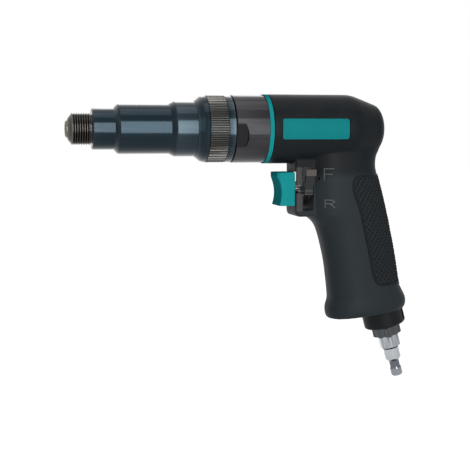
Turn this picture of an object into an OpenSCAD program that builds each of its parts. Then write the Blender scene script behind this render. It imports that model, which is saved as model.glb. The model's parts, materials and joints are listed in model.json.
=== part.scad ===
// Pistol-grip pneumatic screwdriver with an outside torque ring, in millimetres.
// The origin is on the spindle axis at the mouth of the bit socket. +X runs back along
// the spindle, +Z is up and the grip hangs down. The side with the name plate faces -Y.

/* [Nose and clutch case] */
// Length from the spindle's tip to the first thread crest
tip_len = 3.5; // [3:0.1:7]
// Length of the threaded nose
thread_len = 12; // [8:0.1:16]
// Radius over the nose thread's crests
thread_r = 10; // [9.5:0.05:11]
// Pitch of the nose thread
thread_pitch = 1.5; // [1:0.25:2]
// Depth of the nose thread
thread_depth = 0.85; // [0.5:0.05:1]
// Length of the undercut behind the thread
neck_len = 0.9; // [0.5:0.1:2]
// Length of the first step of the case
step1_len = 13.9; // [12:0.1:20]
// Radius of the first step of the case
step1_r = 13; // [12.6:0.1:14]
// Length of the cone between the first and the second step
cone1_len = 2.5; // [1.5:0.1:4]
// Length of the second step of the case
step2_len = 32.7; // [30:0.1:45]
// Radius of the second step of the case
step2_r = 15.8; // [15:0.1:17]
// Length of the cone between the second and the third step
cone2_len = 3; // [1.5:0.1:4]
// Length of the third step of the case
step3_len = 13.8; // [11:0.1:20]
// Radius of the third step of the case
step3_r = 17.6; // [17.4:0.1:18.5]
// Radius of the case under the torque ring
case_tail_r = 17.2; // [16.9:0.1:17.4]
// Radius of the clutch bore in the case
case_bore_r = 13.5; // [13.2:0.1:14]
// Chamfer on the steps of the case
case_chamfer = 0.6; // [0.2:0.1:1]

/* [Torque ring] */
// Length of the torque ring
ring_len = 23.6; // [20:0.1:30]
// Radius of the torque ring
ring_r = 21.5; // [20.5:0.1:23]
// Length of the bevel on the ring's front
ring_bevel = 3.6; // [2:0.1:5]
// Distance from the ring's front to its knurled band
knurl_start = 7.1; // [5:0.1:9]
// Length of the knurled band
knurl_len = 11.7; // [8:0.1:14]
// Depth of the grooves of the knurl
knurl_depth = 0.45; // [0.2:0.05:0.8]
// Number of grooves round the knurl
knurl_count = 90; // [60:1:120]
// Gap between the ring and the gear housing
ring_gap = 0.45; // [0.3:0.05:1]

/* [Gear housing and accent ring] */
// Length of the gear housing that shows
gear_len = 21.3; // [18:0.1:26]
// Radius of the gear housing
gear_r = 21.9; // [21.2:0.1:23]
// Length of the wrench flats
flat_len = 7.6; // [5:0.1:10]
// Distance of the wrench flats from the axis
flat_r = 20.4; // [19.6:0.1:21]
// Angle of the wrench flats below the horizontal
flat_angle = 12; // [0:1:30]
// Length of the accent ring
accent_len = 2.6; // [1.5:0.1:4]
// Radius of the accent ring
accent_r = 22.5; // [21.8:0.1:23.5]

/* [Rear body] */
// Length of the housing's barrel
body_len = 80.7; // [78:0.1:95]
// Radius of the housing's barrel
body_r = 22.6; // [22:0.1:24]
// Length over which the barrel's rear end tapers
taper_len = 17.4; // [12:0.1:24]
// Radius of the barrel's rear end behind the taper
tail_r = 16; // [13:0.1:18]
// Depth of the domed rear end
dome_len = 6.2; // [3:0.1:9]
// Length of the name plate
plate_len = 44.6; // [30:0.1:50]
// Height of the name plate
plate_h = 13.2; // [8:0.1:16]
// Distance from the barrel's front edge to the name plate
plate_start = 5.6; // [3:0.1:10]
// Thickness of the name plate
plate_t = 0.4; // [0.3:0.1:0.8]

/* [Grip] */
// Depth of the grip from front to back
grip_depth = 52; // [46:0.1:56]
// Width of the grip
grip_w = 37; // [35:0.1:42]
// Height from the spindle axis down to the middle of the grip's foot
grip_drop = 124; // [118:0.1:140]
// Angle of the grip's centre line from the vertical
grip_tilt = 13; // [10:0.5:16]
// Angle of the grip's foot from the horizontal
foot_tilt = 7.2; // [4:0.1:10]
// Distance of the grip's centre line from the barrel's front edge, on the spindle axis
grip_start = 56.5; // [54:0.1:62]
// Thickness of the rubber panel in the grip's back
rubber_t = 1.6; // [1:0.1:2]
// Height of the rubber panel's face above the grip
rubber_proud = 0.5; // [0.2:0.1:0.8]

/* [Trigger] */
// Height from the spindle axis down to the trigger's axis
trigger_drop = 39.2; // [37:0.1:42]
// Distance from the barrel's front edge back to the trigger block
block_start = 17.3; // [11:0.1:19]
// Length of the two horns above and below the trigger
horn_len = 0.5; // [0.3:0.1:3]
// Length of the trigger block's side walls, up to the lever slot
wall_len = 4.6; // [4:0.1:6.5]
// Half width of the trigger block
block_w = 11.8; // [11:0.1:16.4]
// Height of the trigger block
block_h = 36.4; // [33:0.1:40]
// Height of the trigger
trigger_h = 22; // [18:0.1:23]
// Width of the trigger
trigger_w = 20; // [16:0.1:20.6]
// Length of the trigger from its finger face to its back
trigger_len = 12; // [10:0.1:16]
// Depth of the hollow in the finger face
trigger_hollow = 2.9; // [0.5:0.1:3]
// Travel of the trigger
trigger_travel = 3.5; // [2:0.1:3.6]
// Radius of the trigger's stem
stem_r = 1.25; // [1:0.05:1.5]

/* [Reverse lever] */
// Width of the slot for the reverse lever, along the spindle
slot_w = 7.2; // [5.5:0.1:8]
// Height of the slot for the reverse lever
slot_h = 28.6; // [28.4:0.1:30]
// Thickness of the reverse lever
lever_t = 5.2; // [4:0.1:5.4]
// Radius of the lever's hub
lever_hub_r = 4.6; // [4.2:0.1:5]
// Distance of the lever's knuckles from its axis
knuckle_y = 10.6; // [9:0.1:11]
// Distance of the lever's knobs from its axis, sideways
knob_y = 16.6; // [14.5:0.1:20]
// Height of the lever's knobs above or below its axis
knob_z = 10.9; // [10:0.1:12]
// Size of the lever's knobs along the spindle
knob_len = 7; // [6:0.1:8]
// Radius of the rotary reverse valve
valve_r = 6.95; // [6:0.05:7.2]
// Length of the rotary reverse valve
valve_len = 24; // [20:0.1:28]

/* [Spindle and clutch] */
// Radius of the spindle's shaft
spindle_r = 6; // [5.6:0.05:6.2]
// Width across the flats of the bit socket
socket_af = 6.45; // [6.35:0.01:6.6]
// Depth of the bit socket
socket_depth = 15; // [12:0.1:20]
// Radius of the spindle's clutch flange
flange_r = 12.2; // [11.5:0.1:12.6]
// Thickness of the spindle's clutch flange
flange_len = 6; // [5:0.1:8]
// Radius of the balls of the clutch
clutch_ball_r = 2.5; // [2:0.1:3]
// Gap between the two halves of the clutch
clutch_gap = 1.2; // [0.8:0.1:1.6]
// Thickness of the clutch cam
cam_len = 9; // [7:0.1:11]
// Width across the flats of the drive shaft
drive_af = 10; // [9:0.1:10.4]
// Radius of the clutch spring's wire
spring_wire_r = 1.4; // [1:0.05:1.6]
// Radius of the clutch spring to the middle of its wire
spring_r = 10.7; // [10.2:0.1:11.4]
// Number of turns of the clutch spring
spring_turns = 5.5; // [4:0.5:6]
// Thickness of the spring seat
seat_len = 5; // [4:0.1:6]
// Radius of the spring seat's guide pins
seat_pin_r = 1.5; // [1:0.1:1.8]
// Travel of the spring seat
seat_travel = 3.6; // [2:0.1:4]
// Thickness of one race of the thrust bearing
thrust_t = 1.4; // [1.2:0.1:1.8]
// Radius of the balls of the thrust bearing
thrust_ball_r = 1.2; // [1:0.1:1.5]

/* [Gear stage] */
// Module of the gears
gear_module = 0.75; // [0.72:0.01:0.76]
// Width of the planet gears
planet_len = 10; // [8:0.1:10.4]
// Radius of the planet pins
planet_pin_r = 2; // [1.5:0.1:2.4]
// Backlash of the gears, along the pitch circle
backlash = 0.08; // [0.04:0.01:0.12]

/* [Motor] */
// Length of the motor's cylinder
cylinder_len = 38; // [34:0.1:40]
// Outer radius of the motor's cylinder
cylinder_r = 18.2; // [17.8:0.1:18.4]
// Bore radius of the motor's cylinder
cylinder_bore_r = 14.5; // [14:0.1:14.8]
// Distance of the cylinder's bore from the rotor's axis
eccentricity = 1.4; // [1:0.1:1.6]
// Number of vanes in the rotor
vane_count = 5; // [4:1:6]
// Thickness of a vane
vane_t = 1.9; // [1.5:0.1:2.2]
// Depth of a vane
vane_depth = 6.6; // [5:0.1:7]
// Thickness of the front end plate
front_plate_len = 7.5; // [7:0.1:9]
// Thickness of the rear end plate
rear_plate_len = 8; // [7.5:0.1:9]

/* [Air inlet and exhaust] */
// Distance from the grip's centre line back to the inlet's axis, on the foot
inlet_back = 10.7; // [9:0.1:13]
// Angle of the inlet's axis from the vertical
inlet_tilt = 15; // [10:0.5:20]
// Radius of the exhaust deflector
deflector_r = 14.1; // [13:0.1:14.6]
// Height of the exhaust deflector
deflector_len = 11.6; // [9:0.1:15]
// Radius of the inlet bushing's barrel
bushing_r = 8.5; // [8:0.1:9]
// Width across the flats of the inlet bushing
bushing_af = 19; // [18:0.5:22]
// Thickness of the inlet bushing's hexagon
bushing_hex_len = 6.6; // [5:0.1:9]
// Width across the flats of the air nipple
nipple_af = 13; // [12:0.5:15]
// Thickness of the air nipple's hexagon
nipple_hex_len = 8.4; // [6:0.1:10]
// Length of the air nipple below its hexagon
plug_len = 21; // [18:0.1:26]
// Radius of the air nipple's thickest part below its hexagon
plug_r = 5.3; // [5:0.1:5.6]
// Radius of the air nipple's bore
air_r = 2.7; // [2:0.1:3]

/* [Fits] */
// Clearance round shafts that run in a hole
run = 0.05; // [0.02:0.01:0.08]
// Gap between pieces that move past each other
gap = 0.3; // [0.25:0.05:0.4]

/* [Hidden] */
$fn = 64;

// Length by which cuts run past what they cut
over = 1;
// Depth of small chamfers
chamfer = 0.4;

// Places along the spindle, from the tip back
thread_x = tip_len;
step1_x = thread_x + thread_len + neck_len;
step2_x = step1_x + step1_len + cone1_len;
step3_x = step2_x + step2_len + cone2_len;
ring_x = step3_x + step3_len;
gear_x = ring_x + ring_len + ring_gap;
accent_x = gear_x + gear_len;
body_x = accent_x + accent_len;
body_end = body_x + body_len;
taper_x = body_end - dome_len - taper_len;

// Ball bearings: inner radius, outer radius, width
bearing_size = [6, 10.5, 5];
rear_bearing_size = [3, 9.5, 6];
carrier_bearing_size = [7.5, 12, 5];
spindle_bearing_size = [spindle_r, spindle_r + 4.5, 5];
bearing_balls_count = 8;
race_share = 0.3;

// Motor, from the barrel's front edge back
motor_inset = 6.4;
front_plate_x = body_x + motor_inset;
cylinder_x = front_plate_x + front_plate_len;
rear_plate_x = cylinder_x + cylinder_len;
motor_end = rear_plate_x + rear_plate_len;
rear_bearing_x = motor_end - rear_bearing_size[2];
rotor_gap = 0.1;
rotor_r = cylinder_bore_r - eccentricity - rotor_gap / 2;
dowel_len = 8;
dowel_r = 1;
dowel_z = cylinder_r - 2 * dowel_r;

// Gears: involute teeth with a pressure angle of 25 degrees
sun_teeth = 12;
planet_teeth = 15;
ring_teeth = 42;
planet_count = 3;
pressure = 25;
flank_steps = 4;
addendum_share = 0.9;
dedendum_share = 1.2;
orbit_r = gear_module * (sun_teeth + planet_teeth) / 2;
ring_gear_r = gear_module * (ring_teeth / 2 + 3);
spigot_wall = 2;
spigot_r = ring_gear_r + spigot_wall;
accent_step = 0.1;
carrier_ring_t = 1.4;
carrier_disc_len = 4.6;
planet_x = front_plate_x - carrier_ring_t - 2 * gap - planet_len;
ring_gear_x = planet_x - gap;
ring_gear_len = planet_len + 1.5 * gear_module;
carrier_disc_r = gear_module * (ring_teeth / 2 - 1) - gap;
carrier_disc_x = planet_x - gap - carrier_disc_len;
carrier_bore_r = 5.9;
web_r = 2.6;
web_orbit = carrier_disc_r - web_r - chamfer;
carrier_bearing_x = carrier_disc_x - gap - carrier_bearing_size[2];
case_spigot_len = 8.4;
case_spigot_wall = 1.3;
case_spigot_r = case_tail_r - case_spigot_wall;
case_spigot_x = gear_x - case_spigot_len;
shaft_bore_r = carrier_bearing_size[0] + 2 * gap;

// Spindle and clutch, from the nose back
tip_step = 0.6;
tip_r = spindle_r - tip_step;
thread_root_r = thread_r - thread_depth;
bush_share = 0.6;
bush_r = spindle_r + bush_share * (thread_root_r - spindle_r);
nose_cone_len = 1.9;
nose_x = tip_len - nose_cone_len;
bush_setback = 1;
bush_x = tip_len + bush_setback;
bush_len = 14.8;
snap_t = 1.2;
spindle_bearing_x = step2_x - cone1_len - spindle_bearing_size[2];
flange_x = step2_x + 3.6;
flange_end = flange_x + flange_len;
cam_x = flange_end + clutch_gap;
cam_disc_share = 0.65;
cam_disc_len = cam_len * cam_disc_share;
cam_hub_gap = 0.5;
cam_hub_r = spring_r - spring_wire_r - cam_hub_gap;
seat_x = ring_x + 6.6;
seat_bore_r = drive_af / sqrt(3) + 2 * gap;
thrust_groove = 0.35;
thrust_gap = 2 * (thrust_ball_r - thrust_groove);
thrust_x = seat_x - 2 * thrust_t - thrust_gap;
thrust_orbit = (seat_bore_r + case_bore_r) / 2;
thrust_count = 12;
pilot_r = 4;
pilot_len = 4.2;
pocket_wall = 0.7;
clutch_orbit = flange_r - clutch_ball_r - pocket_wall;
clutch_ball_count = 6;
seat_pin_count = 3;
chamber_share = 0.35;
chamber_r = case_tail_r + chamber_share * (ring_r - case_tail_r);
friction_share = 0.24;
friction_wire_r = friction_share * (case_tail_r - case_bore_r);
friction_x = ring_x + 1.9;
bit_ball_r = 1.5;
bit_ball_x = 9;
bit_clip_step = 0.5;
bit_clip_r = spindle_r - bit_clip_step;
bit_clip_len = 1.4;
bit_clip_t = 0.45;
bit_ball_orbit = bit_clip_r - bit_ball_r - run;

// Trigger, lever and valve, from the front of the block back
axis_z = -trigger_drop;
block_x = body_x + block_start;
wall_x = block_x + horn_len;
slot_x = wall_x + wall_len;
slot_end = slot_x + slot_w;
trigger_back = wall_x - gap;
trigger_x = trigger_back - trigger_len;
boss_r = lever_hub_r - gap;
boss_len = 1.3;
block_rise = 5;
block_corner = 4;
block_round = 2.5;
channel_w = trigger_w / 2 + gap;
channel_h = trigger_h / 2 + gap;
window_h = 5.6;
trigger_corner = 3;
trigger_pin_r = 1;
trigger_pin_share = 0.6;
lever_x = slot_x + (slot_w - lever_t) / 2;
arm_share = 0.957;
lever_arm = arm_share * lever_hub_r;
knuckle_r = 2.9;
knuckle_drop = 1.4;
knob_h = 4.2;
knob_t = 3.6;
neck_r = 3;
valve_x = slot_end + 2 * run;
valve_end = valve_x + valve_len;
valve_bore_r = valve_r + run;
valve_core_r = 4.4;
retaining_x = valve_x + 2.4;
retaining_r = 1;
o_ring_r = 0.7;
front_o_ring_x = valve_x + 4.7;
rear_o_ring_x = valve_end - 2;
detent_x = valve_x + 7.2;
detent_ball_r = 1.5;
detent_depth = 0.5;
detent_orbit = valve_r - detent_depth + detent_ball_r;
detent_screw_len = 3;
detent_spring_len = 2.9;
detent_screw_y = detent_orbit + detent_ball_r + detent_spring_len;
detent_wire_r = 0.2;
detent_turns = 3;
port_x = valve_x + valve_len / 2;
port_y = 3.2;
throttle_seat_x = valve_end + gap;
throttle_seat_len = 2.6;
throttle_x = throttle_seat_x + throttle_seat_len + run;
throttle_len = 3;
throttle_r = 4.6;
throttle_wire_r = 0.4;
throttle_coil_r = 3.2;
throttle_turns = 6;
spring_room = 10.5;
chamber_len = throttle_len + spring_room;

// Inlet, in its own frame: the origin is on the foot and -Z points out along the inlet
foot_shift_share = -0.26;
foot_x = body_x + grip_start + grip_drop * tan(grip_tilt) + foot_shift_share * grip_depth;
inlet_step = 1;
inlet_x = foot_x + inlet_back * cos(foot_tilt);
inlet_z = -grip_drop + inlet_back * sin(foot_tilt) + inlet_step;
passage_r = 4.4;
deflector_rim = 1.1;
silencer_r = deflector_r - deflector_rim;
silencer_len = 12;
bushing_top = 22;
deflector_end = gap + deflector_len;
deflector_wall = 2;
vent_h = 4.6;
vent_count = 3;
vent_spread = 34;
hex_end = deflector_end + gap + bushing_hex_len;
nipple_thread_r = 6.55;
nipple_thread_len = 11;
nipple_top = hex_end - nipple_thread_len;
nipple_hex = hex_end + 0.8;
plug_top = nipple_hex + nipple_hex_len;
bushing_turn = 10;
nipple_turn = 20;
screen_t = 0.8;
exhaust_back = 5;
exhaust_side = 11.6;
exhaust_r = 3.2;

// Round body along the spindle, its front face at x and its axis at height z
module axial(x = 0, z = 0) {
    translate([x, 0, z]) rotate([90, 0, 90]) children();
}

// Solid of revolution about the spindle, from points [x, radius]
module turned(points, z = 0) {
    axial(0, z) rotate_extrude() polygon([for (p = points) [p[1], p[0]]]);
}

// Rod along the spindle
module rod(x, len, r, z = 0) {
    axial(x, z) cylinder(len, r, r);
}

// Tube along the spindle
module tube(x, len, outer, inner, z = 0) {
    difference() {
        rod(x, len, outer, z);
        rod(x - over, len + 2 * over, inner, z);
    }
}

// Ring of round wire about the spindle's direction
module wire_ring(x, r, wire_r, z = 0) {
    axial(x, z) rotate_extrude() translate([r, 0]) circle(wire_r);
}

// Square groove for a ring of round wire whose outside is flush with radius r
module ring_groove(x, r, wire_r, z = 0) {
    tube(x - wire_r - run, 2 * (wire_r + run), r + over, r - 2 * wire_r - run, z);
}

// Rod across the tool, from y0 to y1
module cross_rod(x, y0, y1, z, r) {
    translate([x, y1, z]) rotate([90, 0, 0]) cylinder(y1 - y0, r, r);
}

// Outline in the X-Z plane, thickened evenly to both sides
module side(w) {
    rotate([90, 0, 0]) linear_extrude(w, center = true) children();
}

// Rectangle with round corners, its lower left corner at p
module soft_rect(p, size, r) {
    translate([p[0] + r, p[1] + r]) {
        for (x = [0, size[0] - 2 * r]) for (y = [0, size[1] - 2 * r]) translate([x, y]) circle(r);
        translate([-r, 0]) square([size[0], size[1] - 2 * r]);
        translate([0, -r]) square([size[0] - 2 * r, size[1]]);
    }
}

// Copies turned evenly about the spindle
module around(count, start = 0) {
    for (i = [0:count - 1]) rotate([start + i * 360 / count, 0, 0]) children();
}

// Frame of the inlet
module inlet_frame() {
    translate([inlet_x, 0, inlet_z]) rotate([0, -inlet_tilt, 0]) children();
}

// Rod on the inlet's axis, from depth s0 to s1 below the foot
module inlet_rod(s0, s1, r) {
    translate([0, 0, -s1]) cylinder(s1 - s0, r, r);
}

// Hexagonal nut shape on the inlet's axis, with its corners chamfered
module inlet_hex(s0, s1, af, turn = 0) {
    corner = af / sqrt(3);
    face_r = af / 2 - chamfer / 2;
    drop = (corner - face_r) / 2;
    intersection() {
        translate([0, 0, -s1]) rotate([0, 0, turn]) linear_extrude(s1 - s0) circle(corner, $fn = 6);
        rotate_extrude() polygon([[0, -s0], [face_r, -s0], [corner + chamfer, -s0 - drop - chamfer / 2],
            [corner + chamfer, -s1 + drop + chamfer / 2], [face_r, -s1], [0, -s1]]);
    }
}

// Helical spring along +X from the origin
module coil(len, coil_r, wire_r, turns) {
    sides = 6;
    steps = ceil(turns * 12);
    rise = len - 2 * wire_r;
    points = [for (i = [0:steps]) for (k = [0:sides - 1]) let (a = 360 * turns * i / steps,
            r = coil_r + wire_r * cos(360 * k / sides))
        [wire_r + rise * i / steps + wire_r * sin(360 * k / sides), r * cos(a), r * sin(a)]];
    walls = [for (i = [0:steps - 1]) for (k = [0:sides - 1]) let (a = i * sides + k,
            b = i * sides + (k + 1) % sides) each [[a, b + sides, b], [a, a + sides, b + sides]]];
    ends = [[for (k = [0:sides - 1]) k], [for (k = [0:sides - 1]) (steps + 1) * sides - 1 - k]];
    polyhedron(points, concat(walls, ends));
}

// Ball bearings, from b = [inner radius, outer radius, width]
function race_t(b) = (b[1] - b[0]) * race_share;
function ball_r(b) = b[2] / 2 - 2 * chamfer;
function ball_orbit(b) = (b[0] + b[1]) / 2;
module outer_race(x, b) {
    difference() {
        tube(x, b[2], b[1], b[1] - race_t(b));
        wire_ring(x + b[2] / 2, ball_orbit(b), ball_r(b) + run);
    }
}
module inner_race(x, b) {
    difference() {
        tube(x, b[2], b[0] + race_t(b), b[0]);
        wire_ring(x + b[2] / 2, ball_orbit(b), ball_r(b) + run);
    }
}
module ball_set(x, b) {
    around(bearing_balls_count) translate([x + b[2] / 2, 0, ball_orbit(b)]) sphere(ball_r(b));
}

// Gears: half angle of a tooth at each radius, thinner or thicker by play along the pitch circle
function involute(a) = tan(a) * 180 / PI - a;
function base_r(n) = gear_module * n / 2 * cos(pressure);
function half_angle(n, r, play) = 90 / n + involute(pressure)
    - involute(acos(base_r(n) / max(r, base_r(n)))) + play * 90 / (PI * gear_module * n / 2);
function flank_radii(n, root, tip) = let (start = max(root, base_r(n)))
    concat(root < start ? [root] : [], [for (i = [0:flank_steps]) start + (tip - start) * i / flank_steps]);
function tooth(n, radii, play) = concat([for (r = radii) [r, -half_angle(n, r, play)]],
    [for (i = [len(radii) - 1:-1:0]) [radii[i], half_angle(n, radii[i], play)]]);
function gear_outline(n, root, tip, play, turn) = [for (k = [0:n - 1])
    for (p = tooth(n, flank_radii(n, root, tip), play)) let (a = p[1] + k * 360 / n + turn)
    [p[0] * cos(a), p[0] * sin(a)]];
module gear(x, len, n, turn = 0) {
    pitch_r = gear_module * n / 2;
    axial(x) linear_extrude(len) polygon(gear_outline(n, pitch_r - dedendum_share * gear_module,
        pitch_r + addendum_share * gear_module, -backlash / 2, turn));
}

// The grip's sections, from the barrel down to the foot: share of the drop, share of the
// depth by which the middle stands back, share of the depth, share of the width
grip_shares = [
    [0.05, -0.107, 0.97, 0.88],
    [0.105, -0.138, 0.968, 0.925],
    [0.147, -0.182, 0.925, 0.959],
    [0.2, -0.218, 0.913, 0.983],
    [0.25, -0.233, 0.938, 1],
    [0.35, -0.255, 1.005, 1],
    [0.42, -0.268, 1.041, 1],
    [0.455, -0.267, 1.039, 1],
    [0.475, -0.245, 0.994, 0.995],
    [0.5, -0.224, 0.957, 0.99],
    [0.55, -0.215, 0.931, 0.98],
    [0.62, -0.212, 0.923, 0.97],
    [0.7, -0.216, 0.918, 0.965],
    [0.78, -0.23, 0.925, 0.965],
    [0.85, -0.243, 0.937, 0.97],
    [0.9, -0.239, 0.986, 0.985],
    [0.94, -0.253, 1.058, 1.01],
    [0.98, -0.272, 1.053, 1.01],
    [1, -0.289, 1.006, 0.965]];
grip_sides = 36;
grip_roundness = 2.6;
function sign_power(v, e) = sign(v) * pow(abs(v), e);
// One section of the grip, moved out by swell
function grip_ring(row, swell) = let (tilt = foot_tilt * row[0],
    middle = body_x + grip_start + grip_drop * row[0] * tan(grip_tilt) + row[1] * grip_depth)
    [for (k = [0:grip_sides - 1]) let (a = 360 * k / grip_sides,
        u = (row[2] * grip_depth / 2 + swell) * sign_power(cos(a), 2 / grip_roundness),
        v = (row[3] * grip_w / 2 + swell) * sign_power(sin(a), 2 / grip_roundness))
        [middle + u * cos(tilt), v, -grip_drop * row[0] + u * sin(tilt)]];
module grip_solid(swell = 0) {
    rows = len(grip_shares);
    points = [for (row = grip_shares) each grip_ring(row, swell)];
    walls = [for (i = [0:rows - 2]) for (k = [0:grip_sides - 1]) let (a = i * grip_sides + k,
            b = i * grip_sides + (k + 1) % grip_sides) each
            [[a, b, b + grip_sides], [a, b + grip_sides, a + grip_sides]]];
    ends = [[for (k = [0:grip_sides - 1]) grip_sides - 1 - k],
        [for (k = [0:grip_sides - 1]) (rows - 1) * grip_sides + k]];
    polyhedron(points, concat(walls, ends));
}

// Section of the grip at any share of the drop
function column(n) = [for (row = grip_shares) [row[0], row[n]]];
function grip_row(t) = [t, lookup(t, column(1)), lookup(t, column(2)), lookup(t, column(3))];
// Point of the grip's surface at share t of the drop and angle a from its back, moved out by swell
function grip_point(t, a, swell) = let (row = grip_row(t), tilt = foot_tilt * t,
    middle = body_x + grip_start + grip_drop * t * tan(grip_tilt) + row[1] * grip_depth,
    u = (row[2] * grip_depth / 2 + swell) * sign_power(cos(a), 2 / grip_roundness),
    v = (row[3] * grip_w / 2 + swell) * sign_power(sin(a), 2 / grip_roundness))
    [middle + u * cos(tilt), v, -grip_drop * t + u * sin(tilt)];

// Front edge of the rubber panel: share of the drop, and share of the depth back from the
// grip's centre line
rubber_edge_shares = [[0.246, -0.1], [0.26, -0.165], [0.285, -0.205], [0.321, -0.22], [0.36, -0.215],
    [0.427, -0.192], [0.534, -0.187], [0.642, -0.183], [0.752, -0.192], [0.81, -0.178],
    [0.838, -0.14], [0.85, -0.06], [0.89, -0.06]];
rubber_top_share = 0.246;
rubber_bottom_share = 0.845;
rubber_dip_share = 0.025;
rubber_rows = 18;
rubber_columns = 20;
function rubber_angle(t) = let (row = grip_row(t))
    acos(sign_power((lookup(t, rubber_edge_shares) - row[1]) * 2 / row[2], grip_roundness / 2));
function rubber_row(j, swell) = [for (k = [0:rubber_columns]) let (c = 2 * k / rubber_columns - 1,
    t = rubber_top_share + (rubber_bottom_share + rubber_dip_share * (1 - abs(c)) - rubber_top_share)
        * j / rubber_rows) grip_point(t, c * rubber_angle(t), swell)];
module rubber_panel() {
    n = rubber_columns + 1;
    m = rubber_rows + 1;
    points = [for (swell = [rubber_proud, -rubber_t]) for (j = [0:rubber_rows]) each rubber_row(j, swell)];
    faces = [for (j = [0:m - 2]) for (k = [0:n - 2]) let (a = j * n + k, b = a + n * m) each
        [[a, a + 1, a + n + 1], [a, a + n + 1, a + n], [b, b + n + 1, b + 1], [b, b + n, b + n + 1]]];
    rows = [for (j = [0, m - 1]) for (k = [0:n - 2]) let (a = j * n + k, b = a + n * m,
        f = [[a, b, b + 1], [a, b + 1, a + 1]]) each j == 0 ? f : [for (g = f) [g[0], g[2], g[1]]]];
    columns = [for (k = [0, n - 1]) for (j = [0:m - 2]) let (a = j * n + k, b = a + n * m,
        f = [[a, b + n, b], [a, a + n, b + n]]) each k == 0 ? f : [for (g = f) [g[0], g[2], g[1]]]];
    polyhedron(points, concat(faces, rows, columns));
}

// Outside of the barrel: a rounded shoulder, a taper and a dome
shoulder_len = 4;
shoulder_steps = 6;
shoulder_drop = shoulder_len * (body_r - tail_r) / taper_len;
shoulder = [for (i = [0:shoulder_steps]) let (s = i / shoulder_steps)
    [taper_x - shoulder_len + 2 * shoulder_len * s, body_r - shoulder_drop * s * s]];
dome_steps = 8;
dome_start = 15;
dome = [for (i = [0:dome_steps]) let (a = dome_start + (90 - dome_start) * i / dome_steps)
    [body_end - dome_len * (1 - sin(a)) / (1 - sin(dome_start)), tail_r * cos(a) / cos(dome_start)]];

// Pistol housing: the barrel's rear half and the grip in one moulding
module housing() {
    color("#33383a") difference() {
        union() {
            turned(concat([[body_x, 0], [body_x, body_r - chamfer], [body_x + chamfer, body_r]],
                shoulder, dome));
            grip_solid();
            trigger_block();
        }
        motor_bore();
        trigger_channel();
        valve_bores();
        inlet_bores();
        rubber_panel();
        plate_solid(body_r - plate_t / 2, body_r + over);
    }
}
module trigger_block() {
    top_z = axis_z + slot_h / 2 + block_rise;
    bottom_z = axis_z - block_h / 2;
    height = top_z - bottom_z;
    side(2 * block_w) {
        translate([wall_x + block_round, bottom_z]) square([slot_end + slot_w - wall_x, height]);
        translate([wall_x, bottom_z + block_round]) square([block_round, height - block_round]);
        translate([wall_x + block_round, bottom_z + block_round]) circle(block_round);
    }
    side(trigger_w + 2 * gap) {
        translate([block_x, bottom_z + block_corner]) square([block_corner, height - block_corner]);
        translate([block_x + block_corner, bottom_z + block_corner]) circle(block_corner);
    }
}
module motor_bore() {
    rod(body_x - over, front_plate_x - body_x + over, spigot_r);
    rod(front_plate_x - over, motor_end - front_plate_x + over, cylinder_r);
}
module trigger_channel() {
    translate([0, 0, axis_z]) {
        side(2 * channel_w) translate([block_x - over, -channel_h])
            square([slot_x - block_x + 2 * over, 2 * channel_h]);
        side(2 * grip_w) {
            translate([block_x - over, -channel_h]) square([horn_len + over, 2 * channel_h]);
            translate([block_x, -window_h / 2]) square([slot_x - block_x + over, window_h]);
            translate([slot_x, -slot_h / 2]) square([slot_w, slot_h]);
        }
    }
}
module valve_bores() {
    rod(slot_end - over, throttle_x - run - slot_end + over, valve_bore_r, axis_z);
    rod(throttle_x - over, chamber_len + over, throttle_r + 2 * gap, axis_z);
    // Two ports up to the motor, one for each direction of turning
    for (y = [-port_y, port_y]) translate([port_x, y, axis_z]) cylinder(trigger_drop - cylinder_r / 2,
        air_r, air_r);
    // Cross hole for the pin that keeps the valve in
    cross_rod(retaining_x, -grip_w, grip_w, axis_z + valve_r, retaining_r);
    // Side hole for the detent ball, its spring and its screw
    cross_rod(detent_x, 0, grip_w, axis_z, detent_ball_r + run);
}
module inlet_bores() {
    inlet_frame() {
        inlet_rod((inlet_z - axis_z) / cos(inlet_tilt), 0, passage_r);
        inlet_rod(-bushing_top, 0, bushing_r);
        inlet_rod(-silencer_len, over, silencer_r);
        inlet_rod(0, deflector_len, deflector_r + gap);
        // Exhaust passages down from the motor, one on each side
        for (y = [-exhaust_side, exhaust_side]) translate([-exhaust_back, y, 0])
            inlet_rod((inlet_z + cylinder_r / 2) / cos(inlet_tilt), -silencer_len / 2, exhaust_r);
    }
}
// Curved plate on the near side, between two radii
module plate_solid(inner, outer) {
    intersection() {
        tube(body_x, body_len, outer, inner);
        translate([0, -body_r, 0]) side(body_r) soft_rect([body_x + plate_start, -plate_h / 2],
            [plate_len, plate_h], 4 * plate_t);
    }
}
module grip_rubber() {
    color("#23282b") rubber_panel();
}
module name_plate() {
    color("#1f8f8c") plate_solid(body_r - plate_t / 2, body_r + plate_t / 2);
}
module accent_ring() {
    color("#1f8f8c") turned([[accent_x, spigot_r], [accent_x, accent_r], [body_x, body_r - accent_step],
        [body_x, spigot_r]]);
}

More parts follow.
